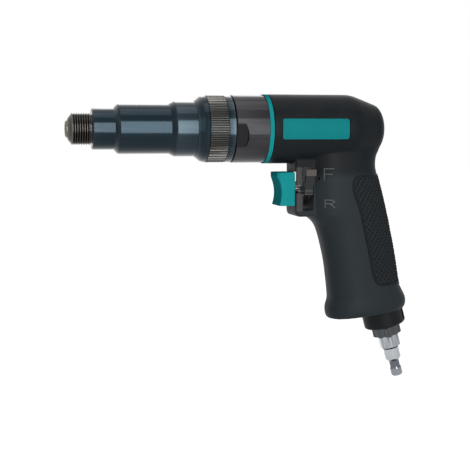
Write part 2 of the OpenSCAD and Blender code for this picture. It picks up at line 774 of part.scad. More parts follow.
// Gear housing: flange with wrench flats, a spigot into the barrel and one into the case
module gear_housing() {
    flat_cut_r = 0.7 * gear_r;
    color("#2b2c30") difference() {
        turned([[case_spigot_x, 0], [case_spigot_x, case_spigot_r], [gear_x, case_spigot_r],
            [gear_x, gear_r - chamfer], [gear_x + chamfer, gear_r], [accent_x, gear_r],
            [accent_x, spigot_r], [front_plate_x, spigot_r], [front_plate_x, 0]]);
        rod(case_spigot_x - over, carrier_bearing_x - case_spigot_x + 2 * over, shaft_bore_r);
        rod(carrier_bearing_x, body_x, carrier_bearing_size[1]);
        rod(carrier_disc_x - gap, body_x, carrier_disc_r + gap);
        rod(ring_gear_x, body_x, ring_gear_r);
        // Wrench flats on both sides, rounded at their rear as milled
        for (a = [0, 180]) rotate([a + flat_angle, 0, 0]) intersection() {
            translate([gear_x - over, -gear_r - over, -gear_r])
                cube([flat_len + over, gear_r + over - flat_r, 2 * gear_r]);
            cross_rod(gear_x + flat_len - flat_cut_r, -2 * gear_r, 0, 0, flat_cut_r);
        }
    }
}

// Stepped case of the clutch, with the nose thread
module clutch_case() {
    root_r = thread_root_r;
    crests = floor(thread_len / thread_pitch);
    crest_shares = [0.4, 0.6];
    thread = [for (i = [0:crests - 1]) each [[thread_x + i * thread_pitch, root_r],
        [thread_x + (i + crest_shares[0]) * thread_pitch, thread_r],
        [thread_x + (i + crest_shares[1]) * thread_pitch, thread_r]]];
    color("#1c2a31") difference() {
        turned(concat([[nose_x, 0], [nose_x, spindle_r + 2 * chamfer]], thread, [
            [thread_x + crests * thread_pitch, root_r],
            [step1_x, root_r], [step1_x, step1_r - case_chamfer], [step1_x + case_chamfer, step1_r],
            [step1_x + step1_len, step1_r], [step2_x - case_chamfer, step2_r - case_chamfer],
            [step2_x + case_chamfer, step2_r], [step2_x + step2_len, step2_r],
            [step3_x - case_chamfer, step3_r - case_chamfer], [step3_x + case_chamfer, step3_r],
            [ring_x - gap, step3_r], [ring_x - gap, case_tail_r], [gear_x, case_tail_r], [gear_x, 0]]));
        rod(nose_x - over, spindle_bearing_x, spindle_r + chamfer);
        rod(bush_x, bush_len, bush_r);
        rod(spindle_bearing_x, ring_x, spindle_bearing_size[1]);
        rod(spindle_bearing_x + spindle_bearing_size[2], snap_t, spindle_bearing_size[1] + chamfer);
        rod(flange_x - 2 * snap_t, ring_x, case_bore_r);
        rod(case_spigot_x, case_spigot_len + over, case_spigot_r);
        // Slots for the spring seat's guide pins
        around(seat_pin_count) translate([seat_x + seat_len / 2 - seat_travel - seat_pin_r - run,
            -seat_pin_r - run, 0]) cube([seat_travel + 2 * (seat_pin_r + run), 2 * (seat_pin_r + run), ring_r]);
        ring_groove(friction_x, case_tail_r, friction_wire_r);
    }
}
module nose_bush() {
    color("#a8824a") tube(bush_x, bush_len, bush_r, spindle_r + run);
}
module ring_friction_ring() {
    color("#141414") wire_ring(friction_x, case_tail_r - friction_wire_r, friction_wire_r);
}
// Split ring that holds the spindle's bearing in the case
module retaining_ring() {
    color("#6f757a") difference() {
        tube(spindle_bearing_x + spindle_bearing_size[2], snap_t, spindle_bearing_size[1] + chamfer,
            spindle_bearing_size[1] - race_t(spindle_bearing_size) / 2);
        translate([spindle_bearing_x, -snap_t, 0])
            cube([2 * spindle_bearing_size[2], 2 * snap_t, step2_r]);
    }
}

// Bearings
module spindle_bearing_outer() {
    color("#9aa0a6") outer_race(spindle_bearing_x, spindle_bearing_size);
}
module spindle_bearing_inner() {
    color("#9aa0a6") inner_race(spindle_bearing_x, spindle_bearing_size);
}
module carrier_bearing_outer() {
    color("#9aa0a6") outer_race(carrier_bearing_x, carrier_bearing_size);
}
module carrier_bearing_inner() {
    color("#9aa0a6") inner_race(carrier_bearing_x, carrier_bearing_size);
}
module rotor_bearing_outers() {
    color("#9aa0a6") {
        outer_race(front_plate_x, bearing_size);
        outer_race(rear_bearing_x, rear_bearing_size);
    }
}
module rotor_bearing_inners() {
    color("#9aa0a6") {
        inner_race(front_plate_x, bearing_size);
        inner_race(rear_bearing_x, rear_bearing_size);
    }
}
module bearing_balls() {
    color("#c8ccd0") {
        ball_set(spindle_bearing_x, spindle_bearing_size);
        ball_set(carrier_bearing_x, carrier_bearing_size);
        ball_set(front_plate_x, bearing_size);
        ball_set(rear_bearing_x, rear_bearing_size);
    }
}

// Motor
module front_end_plate() {
    color("#8e9296") difference() {
        tube(front_plate_x, front_plate_len, cylinder_r, bearing_size[0] + gap);
        rod(front_plate_x - over, bearing_size[2] + over, bearing_size[1]);
    }
}
module rear_end_plate() {
    color("#8e9296") difference() {
        tube(rear_plate_x, rear_plate_len, cylinder_r, rear_bearing_size[0] + gap);
        rod(rear_bearing_x, rear_bearing_size[2] + over, rear_bearing_size[1]);
        cylinder_pin_rod();
    }
}
module cylinder_pin_rod() {
    rod(rear_plate_x - dowel_len / 2, dowel_len, dowel_r, dowel_z);
}
module cylinder_pin() {
    color("#b0b4b8") cylinder_pin_rod();
}
module motor_cylinder() {
    port_shares = [0.35, 0.5, 0.65];
    port_share = 0.068;
    port_angle = 40;
    color("#777c80") difference() {
        rod(cylinder_x, cylinder_len, cylinder_r);
        rod(cylinder_x - over, cylinder_len + 2 * over, cylinder_bore_r, -eccentricity);
        cylinder_pin_rod();
        // Exhaust ports low on both sides
        for (p = port_shares) for (a = [-port_angle, port_angle]) translate([cylinder_x
            + p * cylinder_len, 0, 0]) rotate([a, 0, 0]) translate([0, 0, -2 * cylinder_r])
            cylinder(2 * cylinder_r, port_share * cylinder_len, port_share * cylinder_len);
    }
}
module rotor() {
    body_len_r = cylinder_len - 2 * rotor_gap;
    color("#6a6f74") difference() {
        union() {
            rod(front_plate_x, front_plate_len + 2 * rotor_gap, bearing_size[0]);
            rod(cylinder_x + rotor_gap, body_len_r, rotor_r);
            rod(rear_plate_x - over, motor_end - rear_plate_x + over - gap, rear_bearing_size[0]);
            gear(planet_x, front_plate_x - planet_x + chamfer, sun_teeth);
        }
        around(vane_count) translate([cylinder_x, -vane_t / 2 - run, rotor_r - vane_depth - 2 * run])
            cube([cylinder_len, vane_t + 2 * run, rotor_r]);
    }
}
module rotor_vanes() {
    color("#5a3d28") around(vane_count) translate([cylinder_x + 2 * rotor_gap, -vane_t / 2,
        rotor_r - vane_depth - run]) cube([cylinder_len - 4 * rotor_gap, vane_t, vane_depth]);
}

// Gear stage
module ring_gear() {
    pitch_r = gear_module * ring_teeth / 2;
    color("#7c8288") difference() {
        rod(ring_gear_x, ring_gear_len, ring_gear_r);
        axial(ring_gear_x - over) linear_extrude(ring_gear_len + 2 * over) {
            circle(pitch_r - addendum_share * gear_module);
            polygon(gear_outline(ring_teeth, pitch_r - gear_module,
                pitch_r + dedendum_share * gear_module, backlash / 2, 180 / ring_teeth));
        }
    }
}
module planet_carrier() {
    shaft_x = seat_x + seat_len + 2 * gap;
    hex_x = flange_end + gap;
    ring_start = planet_x + planet_len + gap;
    color("#85898d") difference() {
        union() {
            rod(flange_end - pilot_len, cam_x - flange_end + pilot_len, pilot_r);
            axial(hex_x) linear_extrude(shaft_x - hex_x + over) circle(drive_af / sqrt(3), $fn = 6);
            rod(shaft_x, carrier_disc_x - shaft_x + over, carrier_bearing_size[0]);
            rod(carrier_disc_x, carrier_disc_len, carrier_disc_r);
            tube(ring_start, carrier_ring_t, carrier_disc_r, carrier_bore_r);
            around(planet_count, 180 / planet_count) rod(planet_x - gap - over,
                planet_len + 2 * gap + 2 * over, web_r, web_orbit);
        }
        pin_rods();
    }
}
module pin_rods() {
    around(planet_count) rod(carrier_disc_x, carrier_disc_len + planet_len + 2 * gap + carrier_ring_t,
        planet_pin_r, orbit_r);
}
module planet_pins() {
    color("#b0b4b8") pin_rods();
}
// Planet gear on the carrier at an angle from +Z, in mesh with the sun and the ring gear
module planet_gear(angle) {
    color("#a0a4a8") rotate([angle, 0, 0]) translate([0, 0, orbit_r]) difference() {
        gear(planet_x, planet_len, planet_teeth, 270 + 180 / planet_teeth);
        rod(planet_x - over, planet_len + 2 * over, planet_pin_r + run);
    }
}
module planet_gear_a() {
    planet_gear(0);
}
module planet_gear_b() {
    planet_gear(360 / planet_count);
}
module planet_gear_c() {
    planet_gear(-360 / planet_count);
}

// Clutch and spindle
module spindle() {
    bearing_end = spindle_bearing_x + spindle_bearing_size[2];
    mouth_r = socket_af / sqrt(3) + chamfer / 2;
    color("#b9bdc1") difference() {
        turned([[0, 0], [0, tip_r - 2 * chamfer], [2 * chamfer, tip_r], [nose_x - chamfer, tip_r],
            [nose_x, spindle_r], [bearing_end, spindle_r],
            [bearing_end, spindle_r + 2 * chamfer], [flange_x, spindle_r + 2 * chamfer],
            [flange_x, flange_r], [flange_end, flange_r], [flange_end, 0]]);
        axial(-over) linear_extrude(socket_depth + over) rotate(30) circle(socket_af / sqrt(3), $fn = 6);
        turned([[-over, 0], [-over, mouth_r + over], [mouth_r, 0]]);
        translate([bit_ball_x, 0, 0]) cylinder(spindle_r + over, bit_ball_r + run, bit_ball_r + run);
        tube(bit_ball_x - bit_clip_len / 2 - run, bit_clip_len + 2 * run, spindle_r + over, bit_clip_r);
        rod(flange_end - pilot_len - gap, pilot_len + gap + over, pilot_r + run);
        clutch_ball_row(run);
    }
}
module clutch_ball_row(margin) {
    around(clutch_ball_count) translate([flange_end + clutch_gap / 2, 0, clutch_orbit])
        sphere(clutch_ball_r + margin);
}
module clutch_balls() {
    color("#c8ccd0") clutch_ball_row(0);
}
module bit_ball() {
    color("#c8ccd0") translate([bit_ball_x, 0, bit_ball_orbit]) sphere(bit_ball_r);
}
// Split spring ring round the spindle that presses the ball into the bit's groove
module bit_clip() {
    color("#8a8e92") difference() {
        tube(bit_ball_x - bit_clip_len / 2, bit_clip_len, bit_clip_r + bit_clip_t, bit_clip_r);
        translate([0, -bit_clip_len / 2, -spindle_r - over]) cube([2 * bit_ball_x, bit_clip_len, spindle_r]);
    }
}
module clutch_cam() {
    color("#94989c") difference() {
        union() {
            rod(cam_x, cam_disc_len, flange_r);
            rod(cam_x, cam_len, cam_hub_r);
        }
        axial(cam_x - over) linear_extrude(cam_len + 2 * over) circle(drive_af / sqrt(3) + run, $fn = 6);
        clutch_ball_row(run);
    }
}
module clutch_spring() {
    start = cam_x + cam_disc_len;
    color("#8a8e92") translate([start, 0, 0]) coil(thrust_x - start, spring_r, spring_wire_r, spring_turns);
}
module thrust_track() {
    wire_ring(thrust_x + thrust_t + thrust_gap / 2, thrust_orbit, thrust_ball_r + run);
}
module thrust_race_turning() {
    color("#9aa0a6") difference() {
        tube(thrust_x, thrust_t, case_bore_r - gap, seat_bore_r);
        thrust_track();
    }
}
module thrust_race_fixed() {
    color("#9aa0a6") difference() {
        tube(seat_x - thrust_t, thrust_t, case_bore_r - gap, seat_bore_r);
        thrust_track();
    }
}
module thrust_balls() {
    color("#c8ccd0") around(thrust_count) translate([thrust_x + thrust_t + thrust_gap / 2, 0,
        thrust_orbit]) sphere(thrust_ball_r);
}
module seat_pin_rods() {
    around(seat_pin_count) translate([seat_x + seat_len / 2, 0, thrust_orbit])
        cylinder(chamber_r - gap - thrust_orbit, seat_pin_r, seat_pin_r);
}
module spring_seat() {
    color("#7c8084") difference() {
        tube(seat_x, seat_len, case_bore_r - gap, seat_bore_r);
        seat_pin_rods();
    }
}
module seat_pins() {
    color("#b0b4b8") seat_pin_rods();
}

// Torque ring: bevelled front, knurled band, and a chamber that drives the seat's pins
module torque_ring() {
    bevel_shares = [0.15, 0.83];
    chamber_x = seat_x + seat_len / 2 - seat_travel - seat_pin_r - gap;
    chamber_w = seat_travel + 2 * (seat_pin_r + gap);
    step = 360 / knurl_count;
    valley_r = ring_r - knurl_depth;
    start_r = case_tail_r + bevel_shares[0] * (ring_r - case_tail_r);
    bevel_r = case_tail_r + bevel_shares[1] * (ring_r - case_tail_r);
    color("#22282b") difference() {
        union() {
            turned([[ring_x, 0], [ring_x, start_r], [ring_x + ring_bevel, bevel_r],
                [ring_x + knurl_start - knurl_depth, ring_r], [ring_x + knurl_start, valley_r],
                [ring_x + knurl_start + knurl_len, valley_r],
                [ring_x + knurl_start + knurl_len + knurl_depth, ring_r],
                [ring_x + ring_len - chamfer, ring_r], [ring_x + ring_len, ring_r - chamfer],
                [ring_x + ring_len, 0]]);
            axial(ring_x + knurl_start) linear_extrude(knurl_len) polygon([for (i = [0:knurl_count - 1])
                each [for (p = [[-0.3, 0], [-0.1, 1], [0.1, 1], [0.3, 0]]) let (a = (i + p[0]) * step,
                    r = valley_r + p[1] * knurl_depth) [r * cos(a), r * sin(a)]]]);
        }
        rod(ring_x - over, ring_len + 2 * over, case_tail_r + run);
        rod(chamber_x, chamber_w, chamber_r);
    }
}

// Trigger and throttle
module trigger() {
    top_z = axis_z + trigger_h / 2;
    hollow_r = (pow(trigger_h / 2, 2) + pow(trigger_hollow, 2)) / (2 * trigger_hollow);
    color("#1f8f8c") difference() {
        union() {
            intersection() {
                side(trigger_w) translate([trigger_x, axis_z - trigger_h / 2])
                    square([trigger_len, trigger_h]);
                translate([0, 0, top_z - trigger_h - over]) linear_extrude(trigger_h + 2 * over)
                    soft_rect([trigger_x, -trigger_w / 2], [2 * trigger_len, trigger_w], trigger_corner);
            }
            rod(trigger_back - over, boss_len + over, boss_r, axis_z);
        }
        translate([trigger_x + trigger_hollow - hollow_r, 0, axis_z - trigger_hollow])
            rotate([90, 0, 0]) cylinder(trigger_w + 2 * over, hollow_r, hollow_r, center = true);
        rod(trigger_x + trigger_len / 3, trigger_len, stem_r, axis_z);
        trigger_pin_rod();
    }
}
module trigger_pin_rod() {
    cross_rod(trigger_x + trigger_pin_share * trigger_len, -trigger_w / 2 + chamfer,
        trigger_w / 2 - chamfer, axis_z, trigger_pin_r);
}
module trigger_pin() {
    color("#b0b4b8") trigger_pin_rod();
}
module trigger_stem() {
    color("#c4c8cc") difference() {
        rod(trigger_x + trigger_len / 3, throttle_x + throttle_len - trigger_x - trigger_len / 3,
            stem_r, axis_z);
        trigger_pin_rod();
    }
}
module throttle_valve() {
    color("#b28d4e") difference() {
        turned([[throttle_x, 0], [throttle_x, throttle_r - 2 * chamfer], [throttle_x + 2 * chamfer, throttle_r],
            [throttle_x + throttle_len, throttle_r], [throttle_x + throttle_len, 0]], axis_z);
        rod(throttle_x - over, throttle_len + 2 * over, stem_r, axis_z);
    }
}
module throttle_seat() {
    color("#b28d4e") tube(throttle_seat_x, throttle_seat_len, valve_bore_r, throttle_r - 2 * chamfer - gap,
        axis_z);
}
module throttle_spring() {
    color("#9aa0a6") translate([throttle_x + throttle_len, 0, axis_z])
        coil(chamber_len - throttle_len, throttle_coil_r, throttle_wire_r, throttle_turns);
}

// Reverse valve, its lever and its detent
module reverse_valve() {
    core_x = detent_x + 2 * detent_ball_r;
    color("#b28d4e") difference() {
        union() {
            rod(valve_x, valve_len, valve_r, axis_z);
            rod(lever_x, valve_x - lever_x + over, neck_r, axis_z);
        }
        rod(lever_x - over, valve_end - lever_x + 2 * over, stem_r + run, axis_z);
        rod(core_x, valve_end - core_x + over, valve_core_r, axis_z);
        tube(retaining_x - retaining_r - run, 2 * (retaining_r + run), valve_r + over,
            valve_r - retaining_r - run, axis_z);
        wire_ring(detent_x, detent_orbit, detent_ball_r + run, axis_z);
        ring_groove(front_o_ring_x, valve_r, o_ring_r, axis_z);
        ring_groove(rear_o_ring_x, valve_r, o_ring_r, axis_z);
        // Ports for the two directions
        translate([port_x, 0, axis_z]) for (a = [lever_sweep / 4, -lever_sweep * 3 / 4])
            rotate([a, 0, 0]) translate([0, 0, valve_core_r / 2]) cylinder(valve_r, air_r, air_r);
        lever_screw_rod();
    }
}
lever_sweep = 2 * atan(knob_z / knob_y);
module lever_screw_rod() {
    translate([lever_x + lever_t / 2, 0, axis_z - lever_hub_r])
        cylinder(lever_hub_r - stem_r - 2 * run, stem_r / 1.25, stem_r / 1.25);
}
module lever_screw() {
    color("#c4c8cc") lever_screw_rod();
}
// One arm of the lever: out to the knuckle, up to the knob
module lever_arm_2d() {
    reach = [-knob_y + knob_t / 2, knob_z];
    knuckle = [-knuckle_y, -knuckle_drop];
    d = reach - knuckle;
    translate([-knuckle_y, -lever_arm / 2]) square([knuckle_y, lever_arm]);
    translate(knuckle) {
        circle(knuckle_r);
        rotate(atan2(d[1], d[0])) translate([0, -lever_arm / 2]) square([norm(d), lever_arm]);
    }
}
module reverse_lever() {
    rib_shares = [-0.3, 0, 0.3];
    color("#4a4d50") difference() {
        union() {
            axial(lever_x, axis_z) linear_extrude(lever_t) {
                circle(lever_hub_r);
                for (turn = [0, 180]) rotate(turn) lever_arm_2d();
            }
            for (turn = [0, 180]) translate([0, 0, axis_z]) rotate([turn, 0, 0]) difference() {
                translate([lever_x + lever_t / 2 - knob_len / 2, -knob_y - knob_t / 2,
                    knob_z - knob_h / 2]) cube([knob_len, knob_t, knob_h]);
                for (p = rib_shares) translate([lever_x - knob_len, -knob_y - knob_t / 2,
                    knob_z + p * knob_h]) rotate([0, 90, 0]) cylinder(3 * knob_len, chamfer, chamfer);
            }
        }
        rod(lever_x - over, lever_t + 2 * over, neck_r, axis_z);
        lever_screw_rod();
    }
}
module valve_o_rings() {
    color("#141414") {
        wire_ring(front_o_ring_x, valve_r - o_ring_r, o_ring_r, axis_z);
        wire_ring(rear_o_ring_x, valve_r - o_ring_r, o_ring_r, axis_z);
    }
}
module valve_retaining_pin() {
    color("#b0b4b8") cross_rod(retaining_x, chamfer - block_w, block_w - chamfer, axis_z + valve_r,
        retaining_r);
}
module detent_ball() {
    color("#c8ccd0") translate([detent_x, detent_orbit, axis_z]) sphere(detent_ball_r);
}
module detent_spring() {
    start = detent_orbit + detent_ball_r;
    color("#9aa0a6") translate([detent_x, start, axis_z]) rotate([0, 0, 90])
        coil(detent_screw_y - start, detent_ball_r - 2 * detent_wire_r, detent_wire_r, detent_turns);
}
module detent_screw() {
    color("#3c3f42") difference() {
        cross_rod(detent_x, detent_screw_y, detent_screw_y + detent_screw_len, axis_z, detent_ball_r);
        translate([detent_x, detent_screw_y + detent_screw_len / 2, axis_z]) rotate([-90, 0, 0])
            linear_extrude(detent_screw_len) circle(detent_ball_r / 2, $fn = 6);
    }
}

// Air inlet and exhaust
module inlet_bushing() {
    color("#26292c") inlet_frame() difference() {
        union() {
            inlet_rod(-bushing_top, deflector_end + gap, bushing_r);
            inlet_hex(deflector_end + gap, hex_end, bushing_af, bushing_turn);
        }
        inlet_rod(-bushing_top - over, hex_end, passage_r);
        inlet_rod(nipple_top - screen_t, hex_end + over, nipple_thread_r + run);
    }
}
module inlet_screen() {
    hole_r = nipple_thread_r / 8;
    color("#b0b4b8") inlet_frame() difference() {
        inlet_rod(nipple_top - screen_t, nipple_top, nipple_thread_r - run);
        for (ring = [1, 2]) for (i = [0:6 * ring - 1]) rotate([0, 0, i * 60 / ring])
            translate([ring * passage_r * 0.38, 0, 0]) inlet_rod(nipple_top - screen_t - over,
                nipple_top + over, hole_r);
    }
}
module silencer() {
    color("#8b8577") inlet_frame() difference() {
        inlet_rod(-silencer_len, -gap, silencer_r);
        inlet_rod(-silencer_len - over, over, bushing_r);
    }
}
module exhaust_deflector() {
    color("#2a2d30") inlet_frame() difference() {
        rotate_extrude() polygon([[bushing_r + run, -gap], [deflector_r, -gap],
            [deflector_r, -deflector_end + 2 * chamfer], [deflector_r - 2 * chamfer, -deflector_end],
            [bushing_r + run, -deflector_end]]);
        difference() {
            inlet_rod(-over, deflector_end - deflector_wall, deflector_r - deflector_wall);
            inlet_rod(-2 * over, deflector_end, bushing_r + deflector_wall);
        }
        // Vents in the wall, towards the rear
        for (i = [0:vent_count - 1]) rotate([0, 0, (i - (vent_count - 1) / 2) * vent_spread])
            translate([deflector_r - 2 * deflector_wall, -vent_h / 2, -deflector_end + deflector_wall])
            cube([3 * deflector_wall, vent_h, deflector_end - 2 * deflector_wall]);
    }
}
module air_nipple() {
    plug_shares = [[0, 0.8], [0.03, 0.8], [0.05, 1], [0.4, 1], [0.5, 0.64], [0.7, 0.64],
        [0.76, 0.74], [0.96, 0.74], [1, 0.64]];
    color("#d4d6d8") inlet_frame() difference() {
        union() {
            inlet_rod(nipple_top, nipple_hex + chamfer, nipple_thread_r);
            inlet_hex(nipple_hex, plug_top, nipple_af, nipple_turn);
            rotate_extrude() polygon(concat([[0, -plug_top + chamfer]], [for (p = plug_shares)
                [p[1] * plug_r, -plug_top - p[0] * plug_len]], [[0, -plug_top - plug_len]]));
        }
        inlet_rod(nipple_top - over, plug_top + plug_len + over, air_r);
    }
}

housing();
grip_rubber();
name_plate();
accent_ring();
gear_housing();
clutch_case();
nose_bush();
spindle_bearing_outer();
carrier_bearing_outer();
rotor_bearing_outers();
bearing_balls();
retaining_ring();
ring_gear();
front_end_plate();
motor_cylinder();
rear_end_plate();
cylinder_pin();
throttle_seat();
throttle_spring();
valve_retaining_pin();
detent_ball();
detent_spring();
detent_screw();
inlet_bushing();
inlet_screen();
silencer();
air_nipple();
ring_friction_ring();
trigger();
trigger_stem();
trigger_pin();
throttle_valve();
reverse_valve();
reverse_lever();
lever_screw();
valve_o_rings();
torque_ring();
spring_seat();
seat_pins();
thrust_race_fixed();
thrust_balls();
thrust_race_turning();
clutch_spring();
clutch_cam();
planet_carrier();
planet_pins();
carrier_bearing_inner();
planet_gear_a();
planet_gear_b();
planet_gear_c();
spindle();
spindle_bearing_inner();
clutch_balls();
bit_ball();
bit_clip();
rotor();
rotor_vanes();
rotor_bearing_inners();
exhaust_deflector();
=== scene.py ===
"""Looks of the pistol-grip pneumatic screwdriver, built round the CAD frame, in metres.

+X runs back along the barrel, +Z is up, and the side with the plain name plate faces -Y.
The sizes below are those of the part's source, in millimetres.
"""

import json
import math

import bmesh
import bpy
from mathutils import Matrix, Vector
from mathutils.bvhtree import BVHTree


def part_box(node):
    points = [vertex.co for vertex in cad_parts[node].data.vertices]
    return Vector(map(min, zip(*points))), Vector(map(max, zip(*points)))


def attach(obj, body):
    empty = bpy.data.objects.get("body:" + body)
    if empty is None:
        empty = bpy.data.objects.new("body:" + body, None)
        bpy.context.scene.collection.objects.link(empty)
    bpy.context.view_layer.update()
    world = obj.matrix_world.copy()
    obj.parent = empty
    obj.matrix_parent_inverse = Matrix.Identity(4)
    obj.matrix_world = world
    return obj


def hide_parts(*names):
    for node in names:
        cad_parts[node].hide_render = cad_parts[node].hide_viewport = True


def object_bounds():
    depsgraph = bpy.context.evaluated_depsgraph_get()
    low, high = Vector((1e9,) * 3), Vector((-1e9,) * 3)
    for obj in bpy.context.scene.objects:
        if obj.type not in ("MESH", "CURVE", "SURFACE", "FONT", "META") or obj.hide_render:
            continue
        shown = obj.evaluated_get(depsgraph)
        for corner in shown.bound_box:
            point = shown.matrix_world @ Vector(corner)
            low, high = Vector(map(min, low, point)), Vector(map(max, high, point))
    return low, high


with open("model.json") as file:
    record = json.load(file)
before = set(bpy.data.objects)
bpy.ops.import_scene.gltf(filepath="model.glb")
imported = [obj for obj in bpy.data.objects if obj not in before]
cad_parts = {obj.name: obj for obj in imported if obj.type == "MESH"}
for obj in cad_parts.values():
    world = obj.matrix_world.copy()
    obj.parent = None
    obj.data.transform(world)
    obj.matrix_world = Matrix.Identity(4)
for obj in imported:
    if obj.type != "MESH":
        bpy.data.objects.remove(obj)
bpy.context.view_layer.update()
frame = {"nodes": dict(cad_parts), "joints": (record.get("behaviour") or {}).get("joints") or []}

MM = 0.001

# ---------------------------------------------------------------- camera
PICTURE_PX = 470
FOCAL_PX = 1040
CAMERA_DISTANCE = 681
CAMERA_AZIMUTH = 13.3
CAMERA_AIM_X = 109.6
# The spindle's height in the photo, in pixels above the picture's middle
SPINDLE_RISE_PX = 106
CAMERA_PITCH = math.degrees(math.atan(SPINDLE_RISE_PX / FOCAL_PX))
SENSOR = 36
CLIP_NEAR, CLIP_FAR = 0.01, 20


def add_camera():
    turn = math.radians(CAMERA_AZIMUTH)
    forward = Vector((math.sin(turn), math.cos(turn), 0))
    data = bpy.data.cameras.new("camera")
    data.sensor_width = SENSOR
    data.lens = SENSOR * FOCAL_PX / PICTURE_PX
    data.clip_start, data.clip_end = CLIP_NEAR, CLIP_FAR
    camera = bpy.data.objects.new("camera", data)
    camera.location = (Vector((CAMERA_AIM_X, 0, 0)) - CAMERA_DISTANCE * forward) * MM
    camera.rotation_euler = (math.radians(90 - CAMERA_PITCH), 0, -turn)
    bpy.context.collection.objects.link(camera)
    bpy.context.scene.camera = camera


add_camera()

# ---------------------------------------------------------------- sizes of the part
barrel_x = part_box("housing")[0].x / MM
barrel_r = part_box("housing")[1].z / MM
barrel_len = 80.7
shoulder_len = 4
taper_len = 17.4
tail_r = 16
dome_len = 6.2
dome_start = 15
grip_depth = 52
grip_w = 37
grip_drop = 124
grip_tilt = 13
foot_tilt = 7.2
grip_start = 56.5
grip_roundness = 2.6
trigger_axis_z = -39.2
block_x = barrel_x + 17.3
wall_x = block_x + 0.5
slot_x = wall_x + 4.6
slot_w = 7.2
slot_h = 28.6
block_w = 11.8
block_h = 36.4
block_rise = 5
block_corner = 4
block_round = 2.5
trigger_w = 20
trigger_h = 22
gap = 0.3

# Sections of the grip: share of the drop, share of the depth by which the middle stands back,
# share of the depth, share of the width
grip_shares = [
    (0.05, -0.107, 0.97, 0.88),
    (0.105, -0.138, 0.968, 0.925),
    (0.147, -0.182, 0.925, 0.959),
    (0.2, -0.218, 0.913, 0.983),
    (0.25, -0.233, 0.938, 1),
    (0.35, -0.255, 1.005, 1),
    (0.42, -0.268, 1.041, 1),
    (0.455, -0.267, 1.039, 1),
    (0.475, -0.245, 0.994, 0.995),
    (0.5, -0.224, 0.957, 0.99),
    (0.55, -0.215, 0.931, 0.98),
    (0.62, -0.212, 0.923, 0.97),
    (0.7, -0.216, 0.918, 0.965),
    (0.78, -0.23, 0.925, 0.965),
    (0.85, -0.243, 0.937, 0.97),
    (0.9, -0.239, 0.986, 0.985),
    (0.94, -0.253, 1.058, 1.01),
    (0.98, -0.272, 1.053, 1.01),
    (1, -0.289, 1.006, 0.965),
]


# ---------------------------------------------------------------- mesh helpers
def add_mesh(name, points, faces, smooth=True):
    """A mesh object from points in millimetres."""
    mesh = bpy.data.meshes.new(name)
    mesh.from_pydata([Vector(p) * MM for p in points], [], faces)
    mesh.validate()
    bm = bmesh.new()
    bm.from_mesh(mesh)
    bmesh.ops.recalc_face_normals(bm, faces=bm.faces)
    bm.to_mesh(mesh)
    bm.free()
    for polygon in mesh.polygons:
        polygon.use_smooth = smooth
    piece = bpy.data.objects.new(name, mesh)
    bpy.context.collection.objects.link(piece)
    return piece


def circle(r, sides):
    """Points of a circle round the origin."""
    turns = [2 * math.pi * k / sides for k in range(sides)]
    return [(r * math.cos(a), r * math.sin(a)) for a in turns]


def loft(name, rings, smooth=True):
    """A closed solid through rings of points that all have the same count."""
    n = len(rings[0])
    points = [p for ring in rings for p in ring]
    faces = [
        (i * n + k, i * n + (k + 1) % n, (i + 1) * n + (k + 1) % n, (i + 1) * n + k)
        for i in range(len(rings) - 1)
        for k in range(n)
    ]
    faces += [tuple(range(n)), tuple((len(rings) - 1) * n + k for k in range(n))]
    return add_mesh(name, points, faces, smooth)


def turned(name, profile, z=0, sides=192):
    """A solid of revolution along X from (x, radius) pairs; the ends may lie on the axis."""
    tiny = 0.01
    rings = []
    for x, r in profile:
        rings.append([(x, u, z + v) for u, v in circle(max(r, tiny), sides)])
    return loft(name, rings)


def slab(name, outline, y0, y1):
    """An outline in the X-Z plane, from y0 to y1."""
    return loft(name, [[(x, y, z) for x, z in outline] for y in (y0, y1)], smooth=False)


def rounded(x0, z0, x1, z1, r, corners=(True, True, True, True), steps=6):
    """Rectangle whose corners, from the low left one round, are rounded where asked."""
    points = []
    centres = [
        (x0 + r, z0 + r, 180),
        (x1 - r, z0 + r, 270),
        (x1 - r, z1 - r, 0),
        (x0 + r, z1 - r, 90),
    ]
    sharp = [(x0, z0), (x1, z0), (x1, z1), (x0, z1)]
    for (cx, cz, start), corner, soft in zip(centres, sharp, corners):
        if not soft:
            points.append(corner)
            continue
        for i in range(steps + 1):
            a = math.radians(start + 90 * i / steps)
            points.append((cx + r * math.cos(a), cz + r * math.sin(a)))
    return points


def rod(name, start, direction, length, r, sides=48):
    """A cylinder from a point along a direction, in millimetres."""
    turn = Vector((0, 0, 1)).rotation_difference(Vector(direction)).to_matrix()
    rings = []
    for s in (0, length):
        rings.append([tuple(Vector(start) + turn @ Vector((u, v, s))) for u, v in circle(r, sides)])
    return loft(name, rings)


def bake(piece):
    """Applies the piece's modifiers to its mesh."""
    graph = bpy.context.evaluated_depsgraph_get()
    mesh = bpy.data.meshes.new_from_object(piece.evaluated_get(graph))
    old = piece.data
    piece.modifiers.clear()
    piece.data = mesh
    bpy.data.meshes.remove(old)


def join(name, parts):
    """One object from several."""
    bm = bmesh.new()
    for part in parts:
        bm.from_mesh(part.data)
        bpy.data.objects.remove(part)
    mesh = bpy.data.meshes.new(name)
    bm.to_mesh(mesh)
    bm.free()
    piece = bpy.data.objects.new(name, mesh)
    bpy.context.collection.objects.link(piece)
    return piece


def cut(piece, cutter):
    """Takes the cutter away from the piece."""
    modifier = piece.modifiers.new("cut", "BOOLEAN")
    modifier.operation = "DIFFERENCE"
    modifier.solver = "MANIFOLD"
    modifier.object = cutter
    bake(piece)
    bpy.data.objects.remove(cutter)


